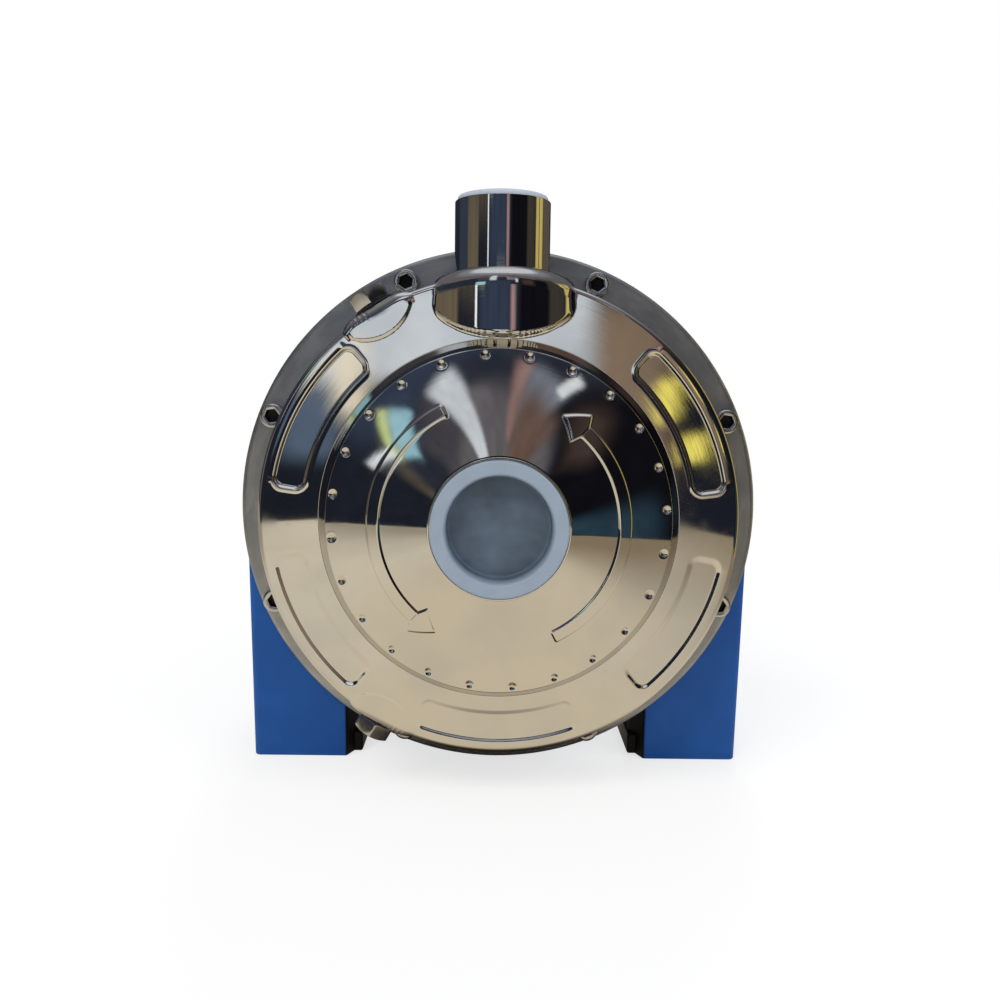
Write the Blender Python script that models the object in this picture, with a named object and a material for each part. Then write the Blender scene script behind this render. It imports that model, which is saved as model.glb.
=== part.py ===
# Close-coupled centrifugal pump: pressed steel wet end, cast bracket on two legs, fan-cooled motor.
# Every piece is built about the shaft: r is a radius, h a distance behind the bolt ring's face,
# so pieces in front of that face have a negative h. Sizes are in millimetres until a mesh is made.
import bpy
import bmesh
from math import acos, cos, hypot, log, pi, radians, sin, tan
from mathutils import Matrix

mm = 0.001
gap = 0.3

# How far a cutting tool reaches past the faces it cuts, and a small turn that keeps facets apart
cut_over = 3.0
facet_turn = 2.0

# The impeller's radius carries the casing, the ring, the cover, the bracket and the legs with it.
impeller_radius = 62.0
impeller_clearance = 3.2
band_width = 26.4
ring_width = 14.8
cone_radius = impeller_radius + impeller_clearance
casing_radius = cone_radius + band_width
ring_radius = casing_radius + ring_width

# Bolt ring, a pressed ring whose outer edge is rolled back over the rims it clamps
ring_thickness = 3.0
ring_lip = 2.2
ring_roll = 2.0
ring_play = 0.5
bolt_edge = 7.0
screw_count = 8
screw_radius = 3.0
screw_head_radius = 5.0
screw_head_height = 6.0
screw_length = 20.0
socket_flats = 5.0
bolt_circle = ring_radius - bolt_edge

# Stance and overall build
floor_clearance = 3.6
bracket_depth = 58.0
frame_length = 140.0
fan_space = 46.0
axis_height = ring_radius + floor_clearance

# Suction collar, the threaded socket on the axis
collar_radius = 25.9
collar_bore = 20.5
collar_step = 3.0
collar_length = 16.0
rim_width = 0.7
rim_step = 0.5

# Pressed casing: a flat annular band round a shallow cone that rises to the suction collar
casing_sheet = 2.0
band_depth = 33.0
band_corner = 5.0
root_fillet = 2.0
cone_step = 6.81
cone_slope_inner = 25.0
cone_slope_outer = 9.5
crease_width = 1.2
crease_rise = 1.6
crease_foot = 2.0
pad_margin = 5.1
pad_width = 11.5
pad_recess = 1.0
pad_corner = 4.0
pad_spans = [(-81.5, -41.0), (41.0, 81.5), (100.0, 139.5), (158.0, 202.0), (-139.5, -100.0)]
pad_outer = casing_radius - pad_margin
pad_inner = pad_outer - pad_width

# The cone's slope eases off evenly outwards, so its face is an arc of this radius.
hole_radius = collar_radius + gap
slope_first = radians(cone_slope_inner)
slope_last = radians(cone_slope_outer)
bend_radius = (cone_radius - hole_radius) / (slope_first - slope_last)
cone_height = band_depth + cone_step + bend_radius * log(cos(slope_last) / cos(slope_first))
collar_face = cone_height + collar_step
collar_foot = collar_face - collar_length

# Discharge, a straight socket on a pressed bulge at the top of the casing. The bulge is an upright
# oval drum: each of its rings has a share of the oval's size and a level from -1 at the foot to 1.
discharge_radius = 18.0
discharge_bore = 15.2
discharge_length = 31.2
discharge_sink = 3.6
discharge_setback = 4.0
bulge_half_width = 34.0
bulge_front = 3.5
bulge_rise = 2.9
bulge_height = 26.4
bulge_rings = [(0.42, -1.0), (0.88, -0.6), (1.0, 0.1), (1.0, 0.6), (0.82, 1.0)]
discharge_offset = discharge_radius + discharge_setback
discharge_foot = casing_radius - discharge_sink
discharge_top = discharge_foot + discharge_length
bulge_reach = discharge_radius + bulge_front
bulge_top = casing_radius + bulge_rise

# Transport caps, soft plastic cups with a flange
cap_wall = 1.3
cap_floor = 1.5
cap_proud = 2.0
cap_flare = 1.0
suction_cap_depth = 10.5
discharge_cap_depth = 9.0
cap_chamfer = 0.8
cap_round = 0.6

# Filling and draining plugs, screwed radially into bosses on the casing's side
plug_angles = {"priming": -31.0, "drain": -150.0}
boss_radius = 12.0
boss_shoulder = 9.5
boss_taper = 3.0
boss_rise = 3.0
boss_height = 12.6
plug_offset = band_depth - boss_radius
boss_top = casing_radius + boss_rise
boss_root = boss_top - boss_height
plug_flats = 14.0
plug_head = 6.0
plug_thread = 6.0
plug_length = 9.0
plug_overlap = 1.5
plug_washer_radius = 8.4
plug_washer_thickness = 1.0

# Casing cover, a dished disc that carries the seal seat
cover_sheet = 2.0
cover_inset = 4.0
cover_step = casing_radius - cover_inset
cover_depth = 6.0
cover_corner = 3.0
seal_cup_radius = 22.0
seal_cup_depth = 18.0
seal_cup_hole = 12.0
seal_cup_fillet = 2.0
o_ring_section = 1.2

# Suction plate, spot welded behind the cone, whose neck runs round the impeller's eye
plate_sheet = 1.5
plate_sides = 16
plate_margin = 4.2
plate_land = 5.0
plate_ramp = 6.0
plate_play = 0.3
plate_fillet = 2.0
neck_clearance = 5.0
neck_height = 6.0
plate_outer = cone_radius - plate_margin
plate_bend = plate_outer - plate_land
plate_flat = plate_bend - plate_ramp
plate_neck = collar_foot - neck_clearance
plate_level = plate_neck - neck_height

# Impeller: two shrouds, backward-curved vanes and a hub
shroud_sheet = 1.6
shroud_clearance = 4.5
back_shroud = 9.0
outlet_width = 8.0
eye_radius = 20.8
eye_inset = 1.0
shroud_flare = 8.0
shroud_dip = 1.0
eye_flare = 2.0
eye_rise = 1.5
eye_straight = 5.0
vane_inset = 1.0
hub_radius = 13.0
hub_reach = 24.0
hub_fillet = 4.0
hub_taper = 1.5
shroud_level = plate_level - shroud_clearance
eye_reach = plate_neck - eye_inset
vane_count = 6
vane_sheet = 1.6
vane_inner = 21.0
vane_angle = 27.0
nut_flats = 13.0
nut_height = 6.5
washer_radius = 9.0
washer_thickness = 1.5
key_width = 4.0
key_length = 11.0
key_half_height = 2.2

# Mechanical seal
seat_height = 6.5
seat_bore = 9.5
face_height = 4.0
face_radius = 16.0
seat_lip = 2.5
face_step = 1.5
spring_radius = 12.5
spring_wire = 0.9
spring_turns = 3

# Shaft, stepped from the impeller's thread to the fan
thread_radius = 4.0
impeller_seat = 7.0
seal_seat_radius = 8.0
front_journal = 8.5
shaft_core = 11.0
rear_journal = 7.5
fan_seat = 6.5
seal_run = 25.0
shaft_chamfer = 0.8

# Ball bearings: bore radius comes from the journal
front_bearing_outer = 20.0
front_bearing_width = 12.0
rear_bearing_outer = 17.5
rear_bearing_width = 11.0
bearing_lip = 5.0
bearing_setback = 38.7
ball_count = 6
ball_share = 0.26
land_share = 0.6
cage_half_width = 0.8

# Splash ring, a rubber disc with a raised lip, pressed on the shaft before the front bearing
splash_place = 22.0
splash_width = 6.0
splash_body = 3.5
splash_lip = 3.5

# Bracket, one casting with the legs
bracket_inset = 0.4
bracket_flange = 12.0
flange_width = 16.0
bracket_wall = 6.0
bracket_neck = 68.0
neck_length = 14.0
web_thickness = 10.0
seat_wall = 6.0
seat_lip_depth = 4.0
wall_taper = 2.0
sole_inset = 1.5
leg_draft = 1.5
leg_drop = 20.0
leg_width_front = 40.3
leg_width_rear = 46.3
leg_depth = 14.0
leg_side = 12.0
leg_start = 4.0
leg_knee_back = 40.0
leg_knee_drop = 30.0
sole_length = 128.0
sole_thickness = 9.0
sole_trim = 3.0
sole_corner = 8.0
leg_tail = 24.0
slot_radius = 4.5
slot_length = 12.0
slot_place = 82.0
bracket_radius = ring_radius - bracket_inset
bracket_bore = bracket_radius - flange_width
sole_half_width = ring_radius - sole_inset
leg_inner_front = sole_half_width - leg_width_front
leg_inner_rear = sole_half_width - leg_width_rear
leg_top = axis_height - leg_drop

# Small screws of the fan cover and the terminal box
small_screw_radius = 2.0
small_screw_head = 3.7
small_screw_rise = 2.4

# Motor
frame_bore = 52.5
frame_valley = 56.5
fin_radius = 66.0
fin_thickness = 2.5
fin_count = 24
fin_flare = 0.6
spigot_length = 5.0
spigot_wall = 4.5
end_space = 80.0
core_length = frame_length - end_space
core_place = 56.0
stator_bore = 33.5
air_gap = 1.0
rotor_ring_length = 6.0
rotor_ring_width = 9.0
winding_length = 15.0
winding_inner = 37.0
winding_outer = 49.5
winding_chamfer = 3.0
shield_radius = 63.6
shield_thickness = 12.0
shield_boss = 5.0
shield_step = 2.0
tie_rod_circle = 59.5
tie_rod_radius = 2.5
tie_rod_head = 4.2
tie_rod_head_height = 5.0
tie_rod_grip = 10.0
tie_rod_count = 4
fan_radius = 50.0
fan_blades = 8
fan_blade_height = 15.0
fan_hub = 11.0
fan_sheet = 1.8
fan_hub_sheet = 3.0
fan_blade_half = 0.8
fan_clearance = 8.0
shaft_tail = 4.0
cover_radius = 66.0
fan_cover_sheet = 1.5
fan_cover_corner = 8.0
grille_slots = 12
grille_inner = 16.0
grille_stagger = 14.0
grille_outer = 52.0
grille_slot = 4.0
cover_screw_count = 3
cover_screw_reach = 7.0

# Terminal box on top of the motor
box_width = 70.0
box_length = 76.0
box_height = 28.0
box_wall = 2.5
box_place = 32.0
box_inset = 2.0
pad_level = 70.0
pad_sink = 8.0
post_place = 6.0
post_half = 4.5
lid_height = 8.0
lid_overhang = 1.5
lid_room_side = 11.0
lid_room_end = 3.0
board_half_width = 14.0
board_length = 28.0
board_height = 9.2
gland_radius = 9.0
gland_flats = 22.0
gland_collar = 5.0
gland_reach = 17.0
gland_bore = 4.0
gland_level = 14.0

# Worked-out places along the shaft
rim_front = ring_thickness + gap
cover_rim = rim_front + casing_sheet + gap
bracket_face = cover_rim + cover_sheet + gap
frame_start = bracket_face + bracket_depth
frame_end = frame_start + gap + frame_length
shield_start = frame_end + gap
shield_end = shield_start + shield_thickness
rear_reach = shield_end + fan_space
front_reach = collar_face + cap_proud
face_y = (front_reach - rear_reach) / 2
front_bearing_place = bracket_face + bearing_setback
rim_radius = ring_radius - ring_lip - 2 * gap
core_start = frame_start + core_place - winding_length
core_end = core_start + core_length
rear_bearing_place = shield_end - bearing_lip + 2 * gap - rear_bearing_width
fan_start = shield_end + fan_clearance
shaft_end = fan_start + fan_blade_height + shaft_tail

for item in list(bpy.data.objects):
    bpy.data.objects.remove(item)


def paint(name, color, metallic, roughness):
    material = bpy.data.materials.new(name)
    material.use_nodes = True
    shader = material.node_tree.nodes["Principled BSDF"]
    shader.inputs["Base Color"].default_value = (*color, 1.0)
    shader.inputs["Metallic"].default_value = metallic
    shader.inputs["Roughness"].default_value = roughness
    return material


polished = paint("polished_steel", (0.62, 0.61, 0.58), 1.0, 0.1)
brushed = paint("brushed_steel", (0.5, 0.5, 0.49), 1.0, 0.35)
dark_steel = paint("dark_steel", (0.3, 0.3, 0.31), 1.0, 0.4)
blue = paint("blue_paint", (0.01, 0.09, 0.3), 0.0, 0.45)
white_plastic = paint("white_plastic", (0.75, 0.8, 0.85), 0.0, 0.4)
black_plastic = paint("black_plastic", (0.02, 0.02, 0.022), 0.0, 0.5)
rubber = paint("black_rubber", (0.02, 0.02, 0.02), 0.0, 0.7)
copper = paint("copper_winding", (0.5, 0.18, 0.06), 0.6, 0.5)
core_steel = paint("core_steel", (0.25, 0.25, 0.26), 0.8, 0.5)
ceramic = paint("ceramic", (0.8, 0.78, 0.72), 0.0, 0.2)
carbon = paint("carbon", (0.03, 0.03, 0.03), 0.0, 0.4)

# The shaft's frame: local z runs rearwards along the shaft, from the bolt ring's face.
shaft_frame = Matrix.Translation((0, face_y * mm, axis_height * mm)) @ Matrix.Rotation(-pi / 2, 4, "X")


def radial_frame(angle, h):
    # Local z points away from the shaft, angle degrees clockwise from the top as seen from the front.
    lift = Matrix.Translation((0, (face_y + h) * mm, axis_height * mm))
    return lift @ Matrix.Rotation(radians(angle), 4, "Y")


def add(name, bm, material, frame):
    bmesh.ops.recalc_face_normals(bm, faces=bm.faces)
    if bm.calc_volume(signed=True) < 0:
        bmesh.ops.reverse_faces(bm, faces=bm.faces)
    mesh = bpy.data.meshes.new(name)
    bm.to_mesh(mesh)
    bm.free()
    mesh.shade_smooth()
    mesh.set_sharp_from_angle(angle=radians(35))
    if material:
        mesh.materials.append(material)
    piece = bpy.data.objects.new(name, mesh)
    piece.matrix_world = frame
    bpy.context.collection.objects.link(piece)
    return piece


def turned(name, outline, steps, material=None, frame=shaft_frame):
    # Spins a closed outline of (r, h) points round local z.
    bm = bmesh.new()
    spin_outline(bm, outline, steps)
    return add(name, bm, material, frame)


def spin_outline(bm, outline, steps, place=Matrix()):
    verts = [bm.verts.new(place @ Matrix.Scale(mm, 4) @ point_on(r, h)) for r, h in outline]
    edges = []
    for (a, b), (p, q) in zip(pairs(verts), pairs(outline)):
        if p[0] > 0 or q[0] > 0:
            edges.append(bm.edges.new((a, b)))
    axis = place.to_3x3() @ point_on(0, 1)
    bmesh.ops.spin(bm, geom=verts + edges, cent=place.translation, axis=axis, angle=2 * pi, steps=steps,
                   use_merge=True)
    bmesh.ops.remove_doubles(bm, verts=bm.verts, dist=1e-7)


def point_on(r, h):
    return Matrix.Translation((r, 0, h)).translation


def pairs(items):
    return zip(items, items[1:] + items[:1])


def prism(name, outline, low, high, material=None, frame=shaft_frame, spread=0.0):
    # Extrudes a closed outline of (x, y) points along local z; spread moves the top's points out in x.
    bm = bmesh.new()
    extrude_outline(bm, outline, low, high, spread)
    return add(name, bm, material, frame)


def extrude_outline(bm, outline, low, high, spread=0.0, turn=0.0):
    spin = Matrix.Rotation(radians(turn), 3, "Z")
    rings = []
    for level, shift in ((low, 0.0), (high, spread)):
        ring = []
        for x, y in outline:
            side = shift if x > 0 else -shift
            place = spin @ Matrix.Translation(((x + side) * mm, y * mm, level * mm)).translation
            ring.append(bm.verts.new(place))
        rings.append(ring)
    bm.faces.new(rings[0])
    bm.faces.new(rings[1])
    for (a, b), (c, d) in zip(pairs(rings[0]), pairs(rings[1])):
        bm.faces.new((a, b, d, c))


def circle(radius, count, start=0.0):
    return [(radius * cos(start + 2 * pi * k / count), radius * sin(start + 2 * pi * k / count))
            for k in range(count)]


def hexagon(flats):
    return circle(flats / 2 / cos(pi / 6), 6)


def rectangle(left, right, low, high):
    return [(left, low), (right, low), (right, high), (left, high)]


def arc(center, radius, start, end, steps):
    # Points on an arc in the (r, h) plane, from start to end degrees.
    return [(center[0] + radius * cos(radians(start + (end - start) * k / steps)),
             center[1] + radius * sin(radians(start + (end - start) * k / steps))) for k in range(steps + 1)]


def sheet(line, thickness):
    # The closed outline of a pressed sheet: the line, and its parallel at thickness on the line's left.
    inner = []
    for k, point in enumerate(line):
        before = direction(line[max(k - 1, 0)], line[max(k, 1)])
        after = direction(line[min(k, len(line) - 2)], line[min(k + 1, len(line) - 1)])
        normal = (-before[1] - after[1], before[0] + after[0])
        size = hypot(*normal)
        normal = (normal[0] / size, normal[1] / size)
        reach = thickness / (normal[0] * -before[1] + normal[1] * before[0])
        inner.append((point[0] + normal[0] * reach, point[1] + normal[1] * reach))
    return line + inner[::-1]


def direction(a, b):
    size = hypot(b[0] - a[0], b[1] - a[1])
    return (b[0] - a[0]) / size, (b[1] - a[1]) / size


def combine(target, tool, operation="DIFFERENCE"):
    # The tool stays in the scene as a wire guide, and the Boolean stays live.
    tool.hide_render = True
    tool.display_type = "WIRE"
    step = target.modifiers.new(tool.name, "BOOLEAN")
    step.operation = operation
    step.object = tool
    step.solver = "EXACT"
    return target


def cone_front(r):
    # How far the casing's cone stands in front of the ring's face at radius r.
    slope = slope_first - (r - hole_radius) / bend_radius
    return cone_height - bend_radius * log(cos(slope) / cos(slope_first))


def screw_angles(count):
    return [360.0 * (k + 0.5) / count for k in range(count)]


def on_circle(angle, radius):
    return shaft_frame @ Matrix.Rotation(radians(angle), 4, "Z") @ Matrix.Translation((radius * mm, 0, 0))


def screw(name, frame, head, shank, places):
    # A screw along local z: head and shank are radii, places the levels of its top, its seat and its tip.
    top, seat, tip = places
    outline = [(0, top), (head, top), (head, seat), (shank, seat), (shank, tip), (0, tip)]
    return turned(name, outline, 8, dark_steel, frame)


def drilled(name, centers, low, high, frame):
    # One guide object with a small screw's hole at each (x, y) centre.
    bm = bmesh.new()
    for x, y in centers:
        outline = [(x + a, y + b) for a, b in circle(small_screw_radius + gap, 8)]
        extrude_outline(bm, outline, low, high)
    return add(name, bm, None, frame)


def hole_pattern(name, angles, circle_radius, radius, low, high, frame=shaft_frame, sides=8):
    # One guide object with a straight cylinder at each angle.
    bm = bmesh.new()
    for angle in angles:
        turn = Matrix.Rotation(radians(angle), 3, "Z") @ Matrix.Translation((circle_radius, 0, 0)).translation
        outline = [(turn.x + x, turn.y + y) for x, y in circle(radius, sides, radians(angle))]
        extrude_outline(bm, outline, low, high)
    return add(name, bm, None, frame)


def casing_line():
    # The casing's outer face, from the collar's hole out to the clamped rim.
    line = []
    for k in range(4):
        r = hole_radius + (cone_radius - hole_radius) * k / 3
        line.append((r, -cone_front(r)))
    crease = cone_radius + crease_width
    line += [(crease, -band_depth - crease_rise), (crease + crease_foot, -band_depth)]
    corner = (casing_radius - band_corner, -band_depth + band_corner)
    line += arc(corner, band_corner, -90, 0, 2)
    line += [(casing_radius + gap, rim_front - root_fillet)]
    root = (casing_radius + gap + root_fillet, rim_front - root_fillet)
    line += arc(root, root_fillet, 180, 90, 2)[1:]
    line += [(rim_radius, rim_front)]
    return line


def bulge(name, shrink=0.0):
    # The oval drum under the discharge; across it, its rings sink with the casing's round top.
    bm = bmesh.new()
    half = bulge_height / 2 - shrink
    middle = bulge_top - bulge_height / 2
    rings = []
    for share, level in bulge_rings:
        ring = []
        for x, y in circle(share, 16, radians(facet_turn)):
            across = x * (bulge_half_width - shrink)
            along = y * (bulge_reach - shrink)
            sink = (bulge_top - (bulge_top ** 2 - across ** 2) ** 0.5) * (level + 1) / 2
            ring.append(bm.verts.new((across * mm, along * mm, (middle + half * level - sink) * mm)))
        rings.append(ring)
    for lower, upper in zip(rings, rings[1:]):
        for (a, b), (c, d) in zip(pairs(lower), pairs(upper)):
            bm.faces.new((a, b, d, c))
    for ring, level in ((rings[0], -half), (rings[-1], half)):
        pole = bm.verts.new((0, 0, (middle + level) * mm))
        for a, b in pairs(ring):
            bm.faces.new((a, b, pole))
    bmesh.ops.triangulate(bm, faces=bm.faces)
    frame = Matrix.Translation((0, (face_y - discharge_offset) * mm, axis_height * mm))
    return add(name, bm, None, frame)


def build_casing():
    line = casing_line()
    rim_back = rim_front + casing_sheet
    skin = line + [(rim_radius, rim_back), (0, rim_back), (0, line[0][1])]
    turn = shaft_frame @ Matrix.Rotation(radians(facet_turn), 4, "Z")
    outer = turned("pump_casing", skin, 32, polished, turn)
    combine(outer, bulge("bulge_outer"), "UNION")
    for label, angle in plug_angles.items():
        boss = [(0, boss_root), (boss_radius, boss_root), (boss_radius, boss_top - boss_taper),
                (boss_shoulder, boss_top), (0, boss_top)]
        frame = radial_frame(angle, -plug_offset)
        combine(outer, turned(label + "_boss", boss, 12, frame=frame), "UNION")
    inner_line = sheet(line, casing_sheet)[len(line):]
    edge = rim_radius + cut_over
    hollow = [(0, rim_back + cut_over), (edge, rim_back + cut_over), (edge, rim_back)]
    hollow += inner_line[1:] + [(0, inner_line[-1][1])]
    tool = turned("casing_hollow", hollow, 32, frame=turn)
    combine(tool, bulge("bulge_inner", casing_sheet), "UNION")
    combine(outer, tool)
    bore = circle(hole_radius, 24, radians(facet_turn / 2))
    combine(outer, prism("collar_hole", bore, -cone_height - cut_over, -cone_height + 6 * casing_sheet))
    pipe_hole = circle(discharge_radius + gap, 24, radians(facet_turn / 2))
    upright = radial_frame(0.0, -discharge_offset)
    foot = discharge_foot - 3 * cut_over
    combine(outer, prism("discharge_hole", pipe_hole, foot, discharge_top, frame=upright))
    for label, angle in plug_angles.items():
        frame = radial_frame(angle, -plug_offset)
        bore = circle(plug_thread + gap, 12)
        low, high = boss_root - 2 * cut_over, boss_top + cut_over
        combine(outer, prism(label + "_hole", bore, low, high, frame=frame))
    combine(outer, build_pads())
    return outer


def build_pads():
    # Five shallow pads round the band, each an arc with rounded corners.
    bm = bmesh.new()
    for first, last in pad_spans:
        outline = pad_outline(first, last)
        extrude_outline(bm, outline, -band_depth - cut_over, -band_depth + pad_recess)
    return add("band_pads", bm, None, shaft_frame)


def pad_outline(first, last):
    # Angles run clockwise from the top as seen from the front.
    points = []
    for radius, a, b in ((pad_outer, first, last), (pad_inner, last, first)):
        inset = pad_corner / radius * 180 / pi * (1 if b > a else -1)
        toward = pad_corner * (-1 if radius == pad_outer else 1)
        points.append((radius + toward, a))
        points.append((radius + toward * 0.3, a + inset * 0.3))
        for k in range(4):
            points.append((radius, a + inset + (b - a - 2 * inset) * k / 3))
        points.append((radius + toward * 0.3, b - inset * 0.3))
        points.append((radius + toward, b))
    return [(r * sin(radians(a)), -r * cos(radians(a))) for r, a in points]


def build_ports():
    # The two threaded sockets, each with a thin proud rim round the seat of its cap.
    foot = -collar_foot
    seat = collar_radius - rim_width
    outline = [(collar_bore, -collar_face + rim_step), (seat, -collar_face + rim_step), (seat, -collar_face),
               (collar_radius, -collar_face), (collar_radius, foot), (collar_bore, foot)]
    turned("suction_collar", outline, 20, polished)
    seat = discharge_radius - rim_width
    outline = [(discharge_bore, discharge_foot), (discharge_radius, discharge_foot),
               (discharge_radius, discharge_top), (seat, discharge_top), (seat, discharge_top - rim_step),
               (discharge_bore, discharge_top - rim_step)]
    turned("discharge_pipe", outline, 20, polished, radial_frame(0.0, -discharge_offset))


def cap_outline(bore, socket_radius, face, depth):
    # A cup whose plug fits the bore, with its mouth and flange at the socket's face; face is its height.
    flange = socket_radius - rim_width - gap
    plug = bore - gap
    inside = plug - cap_wall
    seat = face - rim_step + gap
    top = face + cap_proud
    bottom = top - depth - cap_floor
    return [(0, bottom), (plug - cap_chamfer, bottom), (plug, bottom + 2 * cap_chamfer), (plug, seat),
            (flange, seat), (flange, top - cap_round), (flange - cap_round, top), (inside + cap_flare, top),
            (inside, top - cap_floor), (inside - cap_chamfer, bottom + cap_floor), (0, bottom + cap_floor)]


def build_caps():
    outline = [(r, -h) for r, h in cap_outline(collar_bore, collar_radius, collar_face, suction_cap_depth)]
    turned("suction_cap", outline, 20, white_plastic)
    outline = cap_outline(discharge_bore, discharge_radius, discharge_top, discharge_cap_depth)
    turned("discharge_cap", outline, 20, white_plastic, radial_frame(0.0, -discharge_offset))


def build_ring():
    inner = casing_radius + gap + root_fillet + ring_play
    outline = [(inner, 0), (ring_radius - ring_roll, 0)]
    outline += arc((ring_radius - ring_roll, ring_roll), ring_roll, -90, 0, 2)[1:]
    outline += [(ring_radius, cover_rim + cover_sheet), (ring_radius - ring_lip, cover_rim + cover_sheet),
                (ring_radius - ring_lip, ring_thickness), (inner, ring_thickness)]
    return turned("bolt_ring", outline, 32, brushed)


def build_screws():
    places = (-gap - screw_head_height, -gap, -gap + screw_length)
    for k, angle in enumerate(screw_angles(screw_count)):
        name = f"casing_screw_{k + 1}"
        place = on_circle(angle, bolt_circle)
        piece = screw(name, place, screw_head_radius, screw_radius, places)
        floor = places[0] + screw_head_height / 2
        socket = prism(name + "_socket", hexagon(socket_flats), places[0] - cut_over, floor, frame=place)
        combine(piece, socket)


def build_plugs():
    for label, angle in plug_angles.items():
        frame = radial_frame(angle, -plug_offset)
        low = boss_top + gap
        high = low + plug_washer_thickness
        washer = [(plug_thread + gap, low), (plug_washer_radius, low), (plug_washer_radius, high),
                  (plug_thread + gap, high)]
        turned(label + "_washer", washer, 12, rubber, frame)
        seat = high + gap
        tip = seat - plug_length
        stem = [(0, tip), (plug_thread - shaft_chamfer, tip), (plug_thread, tip + shaft_chamfer),
                (plug_thread, seat + plug_overlap), (0, seat + plug_overlap)]
        plug = prism(label + "_plug", hexagon(plug_flats), seat, seat + plug_head, dark_steel, frame)
        combine(plug, turned(label + "_stem", stem, 12, frame=frame), "UNION")


def build_cover():
    line = [(rim_radius, cover_rim), (cover_step, cover_rim), (cover_step, -cover_depth + cover_corner),
            (cover_step - cover_corner, -cover_depth), (seal_cup_radius + seal_cup_fillet, -cover_depth),
            (seal_cup_radius, -cover_depth + seal_cup_fillet),
            (seal_cup_radius, -cover_depth + seal_cup_depth), (seal_cup_hole, -cover_depth + seal_cup_depth)]
    cover = turned("casing_cover", sheet(line, -cover_sheet), 20, brushed)
    section = (cover_step + gap + o_ring_section, cover_rim - gap - o_ring_section)
    turned("casing_o_ring", arc(section, o_ring_section, 0, 270, 3), 20, rubber)
    return cover


def build_suction_plate():
    # Follows the cone inside as far as the bend, then stands off and turns forward into the neck.
    inner_face = casing_sheet + gap
    neck = (eye_radius + gap) / cos(pi / plate_sides)
    outside = neck + plate_sheet
    line = [(plate_outer, -cone_front(cone_radius) + inner_face + plate_play),
            (plate_bend, -cone_front(plate_bend) + inner_face + plate_play),
            (plate_flat, -plate_level), (outside + plate_fillet, -plate_level),
            (outside, -plate_level - plate_fillet), (outside, -plate_neck)]
    turned("suction_plate", sheet(line, -plate_sheet), plate_sides, brushed)


def shroud_line():
    outer = back_shroud + shroud_sheet + outlet_width
    return [(impeller_radius, -outer), (eye_radius + shroud_flare, -shroud_level + shroud_dip),
            (eye_radius + eye_flare, -shroud_level - eye_rise), (eye_radius, -shroud_level - eye_straight),
            (eye_radius, -eye_reach)]


def build_impeller():
    inside = -back_shroud - shroud_sheet
    back = [(0, -back_shroud), (impeller_radius, -back_shroud), (impeller_radius, inside),
            (hub_radius + hub_fillet, inside), (hub_radius, inside - hub_fillet),
            (hub_radius - hub_taper, -hub_reach), (0, -hub_reach)]
    impeller = turned("impeller", back, 16, brushed)
    front = turned("front_shroud", sheet(shroud_line(), -shroud_sheet), 16)
    combine(impeller, front, "UNION")
    combine(impeller, build_vanes(), "UNION")
    bore = circle(impeller_seat + gap, 12)
    combine(impeller, prism("impeller_bore", bore, -hub_reach - cut_over, -back_shroud + cut_over))
    combine(impeller, keyway("hub_keyway"))
    return impeller


def build_vanes():
    # Backward-curved vanes on a logarithmic spiral, trimmed to the space between the shrouds.
    bm = bmesh.new()
    steps = 4
    tip = impeller_radius - vane_inset
    pitch = radians(vane_angle)
    for k in range(vane_count):
        outline = []
        for side in (-0.5, 0.5):
            edge = []
            for step in range(steps + 1):
                r = vane_inner + (tip - vane_inner) * step / steps
                angle = log(r / vane_inner) / tan(pitch) + side * vane_sheet / (r * sin(pitch))
                edge.append((r * cos(angle), r * sin(angle)))
            outline += edge if side < 0 else edge[::-1]
        extrude_outline(bm, outline, -eye_reach, -back_shroud, turn=360 * k / vane_count)
    vanes = add("vanes", bm, None, shaft_frame)
    half = shroud_sheet / 2
    line = [(r, h + half) for r, h in shroud_line()[:3]]
    edge = impeller_radius + cut_over
    trim = [(hub_radius, -back_shroud - half), (edge, -back_shroud - half)]
    trim += [(edge, line[0][1])] + line + [(hub_radius, line[-1][1])]
    return combine(vanes, turned("vane_space", trim, 16), "INTERSECT")


def keyway(name):
    half = key_width / 2 + gap
    middle = (hub_reach + back_shroud) / 2
    low, high = -middle - key_length / 2 - gap, -middle + key_length / 2 + gap
    outline = rectangle(impeller_seat - key_half_height, impeller_seat + key_half_height + gap, -half, half)
    return prism(name, outline, low, high)


def build_impeller_fixings():
    low = -hub_reach - gap - washer_thickness
    outline = [(thread_radius + gap, low), (washer_radius, low), (washer_radius, -hub_reach - gap),
               (thread_radius + gap, -hub_reach - gap)]
    turned("impeller_washer", outline, 12, brushed)
    nut = prism("impeller_nut", hexagon(nut_flats), low - gap - nut_height, low - gap, brushed)
    combine(nut, prism("nut_bore", circle(thread_radius + gap, 12), low - 2 * nut_height, low + cut_over))
    half = key_width / 2
    middle = (hub_reach + back_shroud) / 2
    key = rectangle(impeller_seat - key_half_height + gap, impeller_seat + key_half_height, -half, half)
    prism("impeller_key", key, -middle - key_length / 2, -middle + key_length / 2, dark_steel)


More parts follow.
